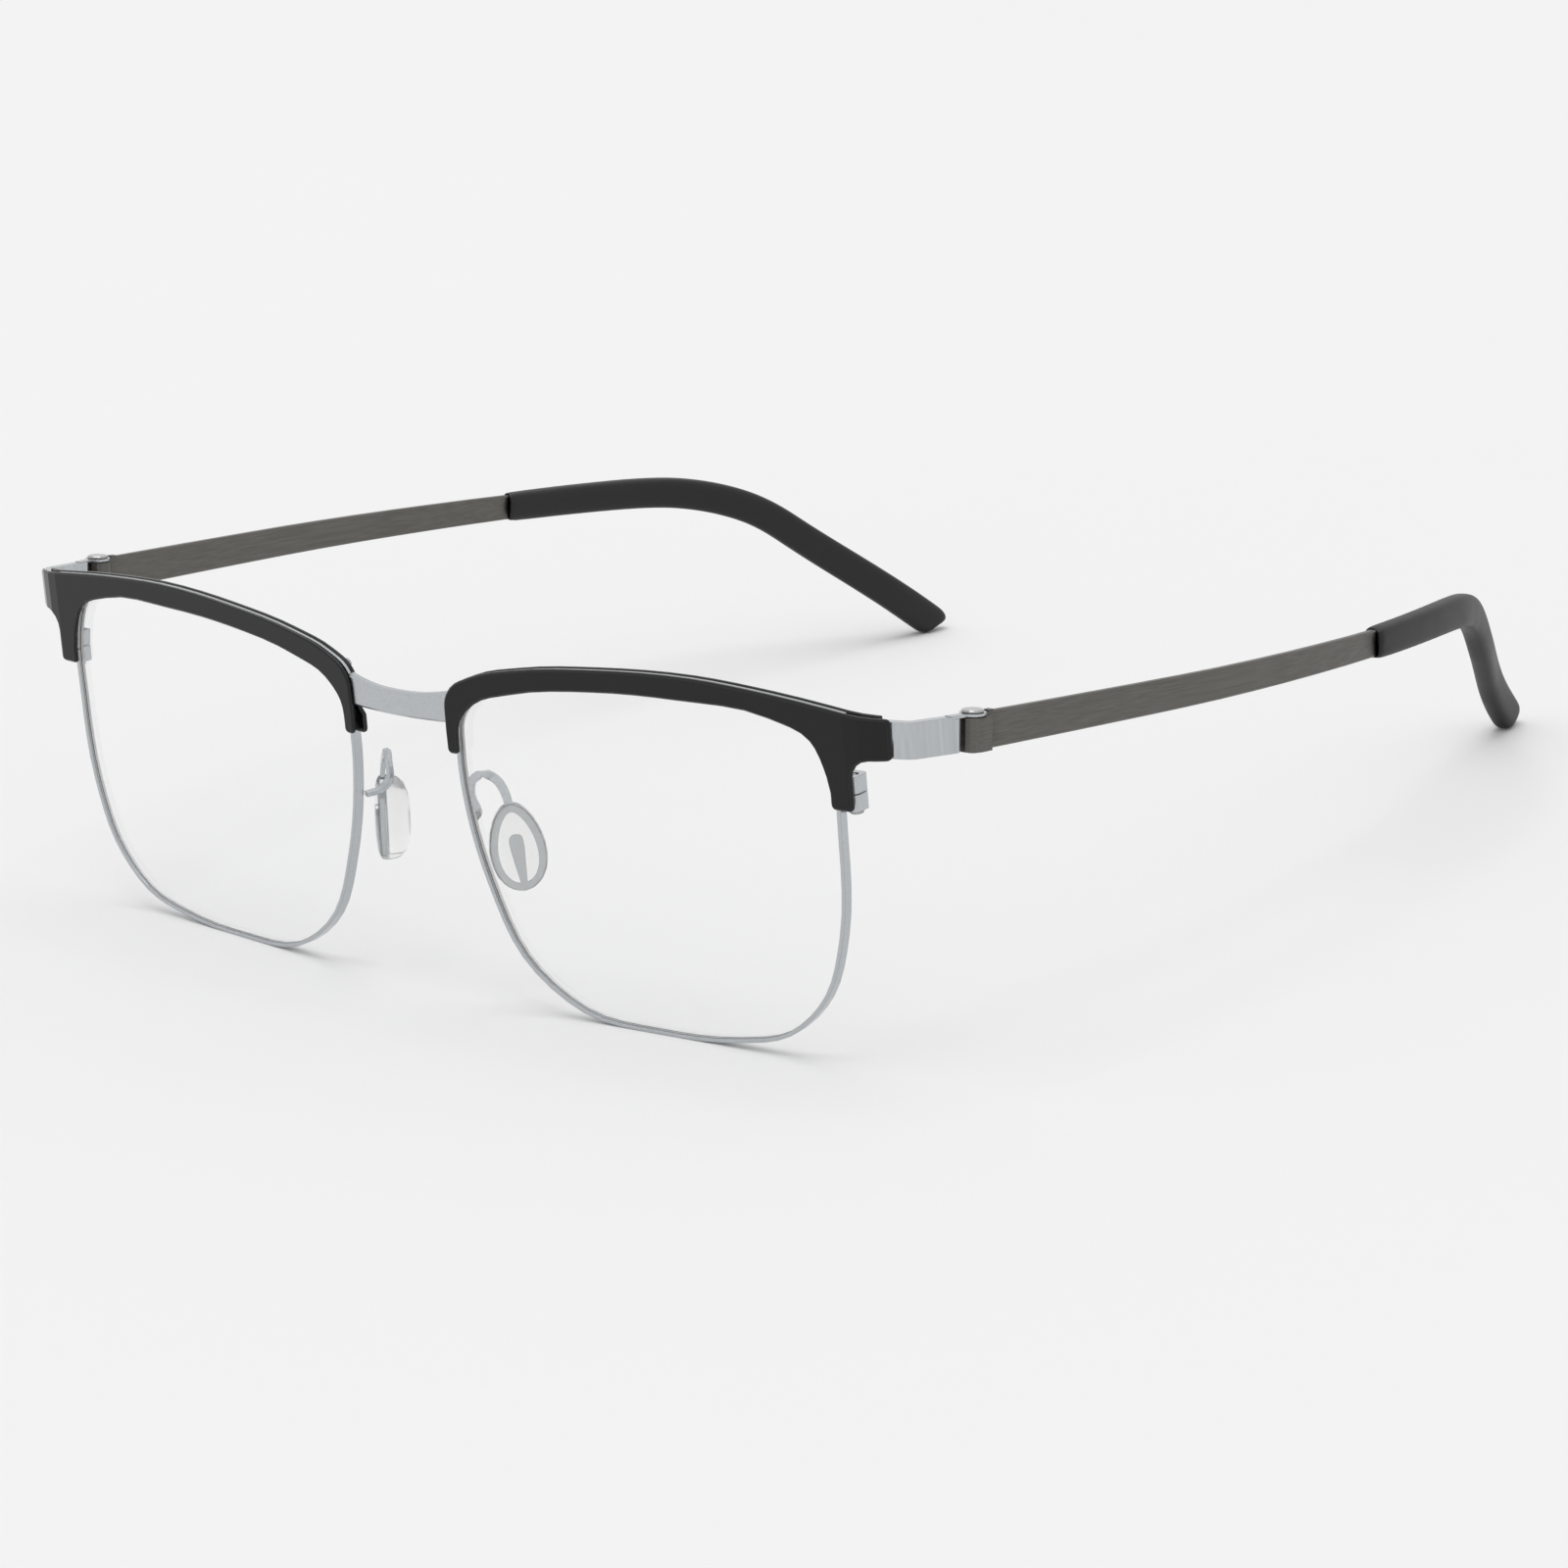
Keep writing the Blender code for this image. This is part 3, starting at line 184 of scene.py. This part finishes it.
# %% Node group for an even grain
grain, grain_in, grain_out = new_group(
    "Even grain",
    [("Grain Scale", FLOAT, 4000.0), ("Cloud Scale", FLOAT, 150.0)],
    [("Grain", FLOAT), ("Clouds", FLOAT)],
)
where = place(grain, "ShaderNodeTexCoord").outputs["Object"]
specks = place(grain, "ShaderNodeTexNoise", {
    "Vector": where, "Scale": grain_in.outputs["Grain Scale"],
}, Detail=2.0)
clouds = cloud_noise(grain, where, grain_in.outputs["Cloud Scale"])
grain.links.new(specks.outputs["Fac"], grain_out.inputs["Grain"])
grain.links.new(clouds, grain_out.inputs["Clouds"])
print("made group", grain.name)

# %% [markdown]
# ## Edges
# No real edge is perfectly sharp. A Bevel modifier would round the shape itself, but it can tear small
# pieces that have many bores and corners. The Bevel node rounds only the surface's direction near an
# edge, over a set radius, and where that rounded direction differs from the true one there is an edge.
# The group puts out both: the difference as a mask, which the metal finishes use for painted reflection on
# darker edges and the brow for a painted highlight on paler edges, and the rounded direction for the
# shader's Normal.

# %% Node group for edges


def shortfall(tree, value, strength):
    """How far a value falls short of one, times the strength, kept between 0 and 1."""
    short = place(tree, "ShaderNodeMath", {1: value})
    short.operation = "SUBTRACT"
    short.inputs[0].default_value = 1.0
    scaled = place(tree, "ShaderNodeMath", {0: short.outputs[0], 1: strength})
    scaled.operation = "MULTIPLY"
    scaled.use_clamp = True
    return scaled.outputs[0]


edges, edges_in, edges_out = new_group(
    "Edges",
    [("Radius", FLOAT, 0.12 * MM), ("Strength", FLOAT, 3.0)],
    [("Edge", FLOAT), ("Soft Normal", VECTOR)],
)
rounded = place(edges, "ShaderNodeBevel", {"Radius": edges_in.outputs["Radius"]})
rounded.samples = 6
plain = place(edges, "ShaderNodeNewGeometry")
alike = place(edges, "ShaderNodeVectorMath", {0: rounded.outputs["Normal"], 1: plain.outputs["Normal"]})
alike.operation = "DOT_PRODUCT"
edge = shortfall(edges, alike.outputs["Value"], edges_in.outputs["Strength"])
edges.links.new(edge, edges_out.inputs["Edge"])
edges.links.new(rounded.outputs["Normal"], edges_out.inputs["Soft Normal"])
print("made group", edges.name)

# %% [markdown]
# ## Painted crevice shade
# Places where two pieces almost touch, such as at the hinge, are darkened in the colour as painted shade.
# Such places could be marked by hand, piece by piece, but ambient occlusion finds them by itself. It
# measures how open a spot is, and what is missing from fully open is a mask for the painted shade.

# %% Node group for painted crevice shade
crevice_shade, crevice_shade_in, crevice_shade_out = new_group(
    "Crevice shade", [("Reach", FLOAT, 1.0 * MM), ("Strength", FLOAT, 1.2)], [("Shade", FLOAT)],
)
openness = place(crevice_shade, "ShaderNodeAmbientOcclusion", {"Distance": crevice_shade_in.outputs["Reach"]})
openness.samples = 8
shade = shortfall(crevice_shade, openness.outputs["AO"], crevice_shade_in.outputs["Strength"])
crevice_shade.links.new(shade, crevice_shade_out.inputs["Shade"])
print("made group", crevice_shade.name)

# %% [markdown]
# ## Putting a finish together
# These helpers each do one step that several finishes share: make the material, place a group with its
# values, colour by a ramp, map noise to a range, mix in another colour by a mask, add fine bumps, and hand
# the material to pieces.

# %% Helpers for a finish
# Most of a noise's values lie between these two
NOISE_LOW = 0.3
NOISE_HIGH = 0.7


def new_material(name):
    """A material with a Principled shader. Returns it, its tree and the shader."""
    material = bpy.data.materials.new(name)
    material.use_nodes = True
    return material, material.node_tree, material.node_tree.nodes["Principled BSDF"]


def use_group(tree, group, **values):
    """Places a node group in a tree and sets its inputs by name."""
    node = tree.nodes.new("ShaderNodeGroup")
    node.node_tree = group
    fill(node, values)
    return node


def ramp(tree, source, low, high):
    """A colour that goes from low to high over the middle of the source's noise."""
    node = place(tree, "ShaderNodeValToRGB", {"Fac": source})
    for stop, position, colour in zip(node.color_ramp.elements, (NOISE_LOW, NOISE_HIGH), (low, high)):
        stop.position = position
        stop.color = (*colour, 1.0)
    return node.outputs["Color"]


def spread(tree, source, low, high):
    """A value that goes from low to high over the middle of the source's noise."""
    node = place(
        tree, "ShaderNodeMapRange", {"Value": source},
        From_Min=NOISE_LOW, From_Max=NOISE_HIGH, To_Min=low, To_Max=high,
    )
    return node.outputs["Result"]


def blend(tree, colour, mask, other):
    """The colour, mixed towards another one where the mask is high."""
    node = place(tree, "ShaderNodeMix")
    node.data_type = "RGBA"
    tree.links.new(mask, node.inputs["Factor"])
    tree.links.new(colour, node.inputs["A"])
    node.inputs["B"].default_value = (*other, 1.0)
    return node.outputs["Result"]


def roughen(tree, shader, height, distance, normal=None):
    """Bumps of that distance from the height, on the shader's surface."""
    bump = place(tree, "ShaderNodeBump", {"Height": height}, Distance=distance, Strength=1.0)
    if normal is not None:
        tree.links.new(normal, bump.inputs["Normal"])
    tree.links.new(bump.outputs["Normal"], shader.inputs["Normal"])


def dress(material, *names):
    """Gives the material to CAD pieces by name."""
    for name in names:
        NODES[name].data.materials.clear()
        NODES[name].data.materials.append(material)
    print(material.name, "on", len(names), "pieces")


def both(*names):
    """The names of those pieces on the left and right side."""
    return [side + "_" + name for name in names for side in SIDES]


# %% [markdown]
# ## Silver metal
# The eyewires, bridge and pad arms are a satin silver. Metal has no colour of its own apart from what it
# reflects, so its Base Color is the share of light that it sends back, here about half and slightly
# blue. The edges are painted darker than the faces, a painted reflection of the thin stripe of everything
# round it that a rounded edge shows. The end pieces are brushed from top to bottom, so theirs is the same
# finish with upright lines. Anisotropic reflection could show the brushing too, but under such even light
# lines are enough.

# %% Silver finish
# How bright the painted crevice shade is, as a share of the metal's darker colour
CREVICE_SHADE_SHARE = 0.1


def drawn_metal(name, low, high, painted_edge_colour, roughness, depth, shade_reach=0.0, **line_values):
    """Plated metal with fine lines, duller patches and edges painted darker as a painted reflection.
    Crevices within the given reach are darkened as painted shade.
    """
    material, tree, shader = new_material(name)
    surface = use_group(tree, lines, **line_values)
    rim = use_group(tree, edges)
    colour = ramp(tree, surface.outputs["Lines"], low, high)
    # Painted reflection: edges are mixed towards a darker colour
    colour = blend(tree, colour, rim.outputs["Edge"], painted_edge_colour)
    # Painted shade: spots that are not fully open are darkened
    if shade_reach:
        gap = use_group(tree, crevice_shade, Reach=shade_reach)
        colour = blend(tree, colour, gap.outputs["Shade"], [share * CREVICE_SHADE_SHARE for share in low])
    tree.links.new(colour, shader.inputs["Base Color"])
    tree.links.new(spread(tree, surface.outputs["Clouds"], *roughness), shader.inputs["Roughness"])
    shader.inputs["Metallic"].default_value = 1.0
    roughen(tree, shader, surface.outputs["Lines"], depth, rim.outputs["Soft Normal"])
    return material


# Painted reflection: the darker colour that silver edges are mixed towards
SILVER_PAINTED_EDGE = (0.26, 0.265, 0.27)
silver = drawn_metal(
    "satin_silver", low=(0.475, 0.495, 0.515), high=(0.525, 0.545, 0.565), painted_edge_colour=SILVER_PAINTED_EDGE,
    roughness=(0.2, 0.26), depth=0.0004 * MM, Stretch=(3000.0, 3000.0, 3000.0),
)
dress(silver, "bridge", *both("eyewire", "pad_arm", "closing_block_upper", "closing_block_lower"))
brushed = drawn_metal(
    "brushed_silver", low=(0.45, 0.47, 0.486), high=(0.526, 0.546, 0.566), painted_edge_colour=SILVER_PAINTED_EDGE,
    roughness=(0.22, 0.3), depth=0.0006 * MM, Stretch=(1800.0, 1800.0, 60.0),
)
dress(brushed, *both("end_piece"))

# %% [markdown]
# ## Gunmetal temples
# The temple strips are a dark, warm gunmetal with fine lines along them. Their edges are painted darker as
# a painted reflection, and painted shade darkens them at the hinge and the sleeve's mouth. The temples
# slope down to the table, so the lines are tilted by the same angle. It could be typed in, but taken from
# the axis of the hinge it stays right if the slope is changed.

# %% Gunmetal finish
fold_axes = {joint["name"]: Vector(joint["axis"]) for joint in frame["joints"]}
TEMPLE_TILT = math.atan2(fold_axes["left_fold"].y, fold_axes["left_fold"].z)
# Painted reflection on the darker edges, and painted shade near the hinge and the sleeve's mouth
gunmetal = drawn_metal(
    "brushed_gunmetal", low=(0.118, 0.113, 0.104), high=(0.154, 0.149, 0.139),
    painted_edge_colour=(0.075, 0.072, 0.068), roughness=(0.32, 0.42), depth=0.0015 * MM, shade_reach=2.5 * MM,
    Tilt=TEMPLE_TILT, Stretch=(5000.0, 80.0, 5000.0),
)
dress(gunmetal, *both("temple"))
print("temple lines tilted by", round(math.degrees(TEMPLE_TILT), 2), "degrees")

# %% [markdown]
# ## Pin caps and screws
# A hinge pin's round cap is polished smoother than the strap beside it. The screws are bare steel and a
# little darker. Both are the drawn metal again with their own values, with edges painted darker as a
# painted reflection, and with painted shade only where they meet other pieces.

# %% Cap and screw finishes
# Edges painted darker as a painted reflection, and painted shade where the pieces meet others
polished = drawn_metal(
    "polished_cap", low=(0.43, 0.43, 0.43), high=(0.475, 0.475, 0.475), painted_edge_colour=(0.34, 0.34, 0.34),
    roughness=(0.14, 0.2), depth=0.0003 * MM, shade_reach=0.3 * MM,
)
dress(polished, *both("hinge_pin"))
screw_steel = drawn_metal(
    "bare_steel", low=(0.36, 0.36, 0.37), high=(0.44, 0.44, 0.45), painted_edge_colour=(0.3, 0.3, 0.31),
    roughness=(0.25, 0.36), depth=0.0008 * MM, shade_reach=0.3 * MM,
)
dress(screw_steel, *both("brow_screw_inner", "brow_screw_outer", "closing_screw"))

# %% [markdown]
# ## Black brows
# The brow trims are black with a satin gloss. Their edges are painted a paler grey, a painted highlight
# where the rounded edges turn up to the light. A dark plastic still reflects a few percent of a white room,
# so its Base Color is set darker than it looks. A clear coat could give the gloss, but for one even layer a
# low Roughness will do.

# %% Brow finish
brow, tree, shader = new_material("satin_black")
surface = use_group(tree, grain, Grain_Scale=2500.0, Cloud_Scale=90.0)
rim = use_group(tree, edges, Radius=0.2 * MM, Strength=8.0)
colour = ramp(tree, surface.outputs["Clouds"], (0.002, 0.002, 0.0023), (0.0035, 0.0035, 0.0038))
# Painted highlight: the edges are mixed towards a paler grey
colour = blend(tree, colour, rim.outputs["Edge"], (0.05, 0.05, 0.052))
tree.links.new(colour, shader.inputs["Base Color"])
tree.links.new(spread(tree, surface.outputs["Clouds"], 0.14, 0.2), shader.inputs["Roughness"])
shader.inputs["Specular IOR Level"].default_value = 0.32
roughen(tree, shader, surface.outputs["Grain"], 0.0004 * MM, rim.outputs["Soft Normal"])
dress(brow, *both("brow_trim", "brow_liner"))

# %% [markdown]
# ## Lenses
# Clear lenses are glass to a renderer: light passes through and bends, and a little is reflected. Rays
# from the lamps are let straight through with a Transparent shader, or the lens would cast a shadow like
# a dark plate. A thin sheet would be simpler, but a solid pane also shows its thickness at the rim.

# %% Lens finish


def let_lamps_through(tree, shader):
    """Mixes in a Transparent shader for the rays that look for lamps."""
    path = place(tree, "ShaderNodeLightPath")
    open_way = place(tree, "ShaderNodeBsdfTransparent")
    mix = place(tree, "ShaderNodeMixShader", {
        0: path.outputs["Is Shadow Ray"], 1: shader.outputs["BSDF"], 2: open_way.outputs["BSDF"],
    })
    tree.links.new(mix.outputs["Shader"], tree.nodes["Material Output"].inputs["Surface"])


clear, tree, shader = new_material("lens_glass")
surface = use_group(tree, grain, Grain_Scale=60.0, Cloud_Scale=25.0)
colour = ramp(tree, surface.outputs["Clouds"], (0.994, 0.997, 0.997), (1.0, 1.0, 1.0))
tree.links.new(colour, shader.inputs["Base Color"])
tree.links.new(spread(tree, surface.outputs["Clouds"], 0.0, 0.008), shader.inputs["Roughness"])
shader.inputs["Transmission Weight"].default_value = 1.0
shader.inputs["IOR"].default_value = 1.5
let_lamps_through(tree, shader)
dress(clear, *both("lens"))

# %% [markdown]
# ## Ground lens edges
# A lens is ground to fit its groove, and the ground edge is white and matt. It shows as a pale line just
# inside the eyewire. The largest face of the lens gives the way that the lens faces, and every face that
# stands across that way belongs to the edge. Those faces take a second material, which leaves the lens
# in one piece.

# %% Ground lens edges
# The cosine of 60 degrees: a face that turns further from the lens's front than this is on its edge
EDGE_LIMIT = 0.5

ground, tree, shader = new_material("ground_edge")
surface = use_group(tree, grain, Grain_Scale=6000.0, Cloud_Scale=200.0)
colour = ramp(tree, surface.outputs["Grain"], (0.84, 0.85, 0.85), (0.92, 0.92, 0.92))
tree.links.new(colour, shader.inputs["Base Color"])
tree.links.new(spread(tree, surface.outputs["Clouds"], 0.5, 0.65), shader.inputs["Roughness"])
roughen(tree, shader, surface.outputs["Grain"], 0.003 * MM)
for name in both("lens"):
    pane = NODES[name].data
    pane.materials.append(ground)
    facing = max(pane.polygons, key=lambda face: face.area).normal.copy()
    rim_faces = [face for face in pane.polygons if abs(face.normal.dot(facing)) < EDGE_LIMIT]
    for face in rim_faces:
        face.material_index = 1
    print(name, "has", len(rim_faces), "edge faces of", len(pane.polygons))

# %% [markdown]
# ## Soft pieces
# The rubber sleeves and the silicone pads are moulded, with no hard edge anywhere. They could be
# sculpted anew, but a softened copy of the plain CAD solid keeps its size and place. It is remeshed into
# small even squares and smoothed, which rounds every edge and bend as a mould would. A sleeve is
# subdivided first, for a smooth bend. A pad is wrapped over its slot first, because the soft silicone
# closes round the metal ring that is pushed into it.

# %% Helpers for moulded pieces
WELD = 0.001 * MM
JOIN_ANGLE = math.radians(40.0)
SLEEVE_SUBDIVISIONS = 2
SQUARE_SIZE = 0.25 * MM
SMOOTH_FACTOR = 0.5


def wrap(cage):
    """Keeps only the convex hull of the cage, so that slots are closed over."""
    hull = bmesh.ops.convex_hull(cage, input=cage.verts)
    left_over = hull["geom_interior"] + hull["geom_unused"]
    spare = [part for part in left_over if isinstance(part, bmesh.types.BMVert)]
    bmesh.ops.delete(cage, geom=spare, context="VERTS")
    skin = set(hull["geom"])
    inner = [face for face in cage.faces if face not in skin]
    bmesh.ops.delete(cage, geom=inner, context="FACES_ONLY")


def cage_mesh(name, node, wrapped):
    """A CAD piece's mesh with its corners welded and its triangles joined into larger faces."""
    cage = bmesh.new()
    cage.from_mesh(NODES[node].data)
    bmesh.ops.remove_doubles(cage, verts=cage.verts, dist=WELD)
    if wrapped:
        wrap(cage)
    bmesh.ops.join_triangles(
        cage, faces=cage.faces, angle_face_threshold=JOIN_ANGLE, angle_shape_threshold=math.pi
    )
    mesh = bpy.data.meshes.new(name)
    cage.to_mesh(mesh)
    cage.free()
    return mesh


def soft_mesh(name, cage, subdivisions, passes):
    """The cage subdivided, remeshed and smoothed. The cage itself is removed."""
    shape = bpy.data.objects.new(name + "_cage", cage)
    bpy.context.scene.collection.objects.link(shape)
    rounding = shape.modifiers.new("rounding", "SUBSURF")
    rounding.levels = subdivisions
    even = shape.modifiers.new("even", "REMESH")
    even.mode = "VOXEL"
    even.voxel_size = SQUARE_SIZE
    soften = shape.modifiers.new("soften", "SMOOTH")
    soften.factor = SMOOTH_FACTOR
    soften.iterations = passes
    bpy.context.view_layer.update()
    graph = bpy.context.evaluated_depsgraph_get()
    mesh = bpy.data.meshes.new_from_object(shape.evaluated_get(graph))
    bpy.data.objects.remove(shape)
    bpy.data.meshes.remove(cage)
    mesh.name = name
    return mesh


def moulded(name, node, material, passes, wrapped=False):
    """A soft copy of a CAD piece, which stands in for it and rides on the same body."""
    cage = cage_mesh(name, node, wrapped)
    mesh = soft_mesh(name, cage, 0 if wrapped else SLEEVE_SUBDIVISIONS, passes)
    mesh.materials.clear()
    mesh.materials.append(material)
    mesh.shade_smooth()
    piece = bpy.data.objects.new(name, mesh)
    bpy.context.scene.collection.objects.link(piece)
    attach(piece, NODES[node]["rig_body"])
    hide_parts(node)
    print("moulded", name, "from", node, "with", len(mesh.polygons), "faces")
    return piece


# %% [markdown]
# ## Rubber sleeves
# Soft rubber has a fine matt skin from its mould. It scatters light widely, so it is rough, with a grain
# that is just visible close up. The grain is in the shader's bumps, because as faces it would make the
# mesh far too heavy.

# %% Rubber sleeves
rubber, tree, shader = new_material("tip_rubber")
surface = use_group(tree, grain, Grain_Scale=5000.0, Cloud_Scale=120.0)
colour = ramp(tree, surface.outputs["Clouds"], (0.003, 0.003, 0.0032), (0.006, 0.006, 0.0063))
tree.links.new(colour, shader.inputs["Base Color"])
tree.links.new(spread(tree, surface.outputs["Clouds"], 0.42, 0.52), shader.inputs["Roughness"])
shader.inputs["Specular IOR Level"].default_value = 0.42
roughen(tree, shader, surface.outputs["Grain"], 0.004 * MM)
for side in SIDES:
    moulded(side + "_sleeve", side + "_temple_tip", rubber, passes=4)

# %% [markdown]
# ## Silicone nose pads
# The pads are clear silicone, soft enough to spread on the nose. Most light goes through them and some
# is scattered, so they look slightly milky, and the metal ring and tongue show inside. Subsurface
# scattering could make them milky too, but a small share of plain diffuse light is quicker to render.

# %% Silicone nose pads
silicone, tree, shader = new_material("pad_silicone")
surface = use_group(tree, grain, Grain_Scale=3000.0, Cloud_Scale=300.0)
colour = ramp(tree, surface.outputs["Clouds"], (0.975, 0.975, 0.97), (0.995, 0.995, 0.99))
tree.links.new(colour, shader.inputs["Base Color"])
tree.links.new(spread(tree, surface.outputs["Clouds"], 0.06, 0.12), shader.inputs["Roughness"])
shader.inputs["Transmission Weight"].default_value = 0.9
shader.inputs["IOR"].default_value = 1.3
let_lamps_through(tree, shader)
for side in SIDES:
    pad = moulded(side + "_pad", side + "_nose_pad", silicone, passes=6, wrapped=True)

# %% [markdown]
# ## Table
# The frame stands on a pale, even table. The table is only slightly lighter in some places than in
# others and doesn't shine, so that it fades into the background and shows just the shadows. A curved
# backdrop isn't needed, because the world behind the table has the same level.

# %% Table
FLOOR_REACH = 6.0

cage = bmesh.new()
bmesh.ops.create_grid(cage, x_segments=1, y_segments=1, size=FLOOR_REACH)
mesh = bpy.data.meshes.new("table")
cage.to_mesh(mesh)
cage.free()
table = bpy.data.objects.new("table", mesh)
bpy.context.scene.collection.objects.link(table)
pale, tree, shader = new_material("pale_table")
surface = use_group(tree, grain, Grain_Scale=800.0, Cloud_Scale=3.0)
colour = ramp(tree, surface.outputs["Clouds"], (0.893, 0.893, 0.893), (0.899, 0.899, 0.899))
tree.links.new(colour, shader.inputs["Base Color"])
shader.inputs["Roughness"].default_value = 0.9
shader.inputs["Specular IOR Level"].default_value = 0.0
table.data.materials.append(pale)
print("table", 2 * FLOOR_REACH, "m wide")

# %% [markdown]
# ## Light
# A sun straight above, as wide as a big softbox, gives shadows that are dark only where the frame meets
# the table, and a white surround fills the rest. Area lamps could do this too, but a sun and a surround
# light the frame alike wherever it stands. Together they light a level page with a strength of one, so
# colours come out about as they are written. What is seen of the surround, directly, in metal or
# through glass, has a level of its own, which is that of the pale table.

# %% Light
SURROUND = 0.72
BACKGROUND = 0.896
SUN_WIDTH = math.radians(45.0)

world = bpy.data.worlds.new("studio")
bpy.context.scene.world = world
world.use_nodes = True
tree = world.node_tree
path = place(tree, "ShaderNodeLightPath")
seen = path.outputs["Is Camera Ray"]
for label in ("Is Glossy Ray", "Is Transmission Ray"):
    either = place(tree, "ShaderNodeMath", {0: seen, 1: path.outputs[label]})
    either.operation = "MAXIMUM"
    seen = either.outputs[0]
level = place(tree, "ShaderNodeMapRange", {"Value": seen}, To_Min=SURROUND, To_Max=BACKGROUND)
tree.links.new(level.outputs["Result"], tree.nodes["Background"].inputs["Strength"])
tree.nodes["Background"].inputs["Color"].default_value = (1.0, 1.0, 1.0, 1.0)

sun = bpy.data.lights.new("soft_sun", "SUN")
sun.angle = SUN_WIDTH
sun.energy = (1.0 - SURROUND) * math.pi
lamp = bpy.data.objects.new("soft_sun", sun)
bpy.context.scene.collection.objects.link(lamp)
bpy.context.scene.view_settings.view_transform = "Standard"
print("sun strength", round(sun.energy, 2), "surround", SURROUND)
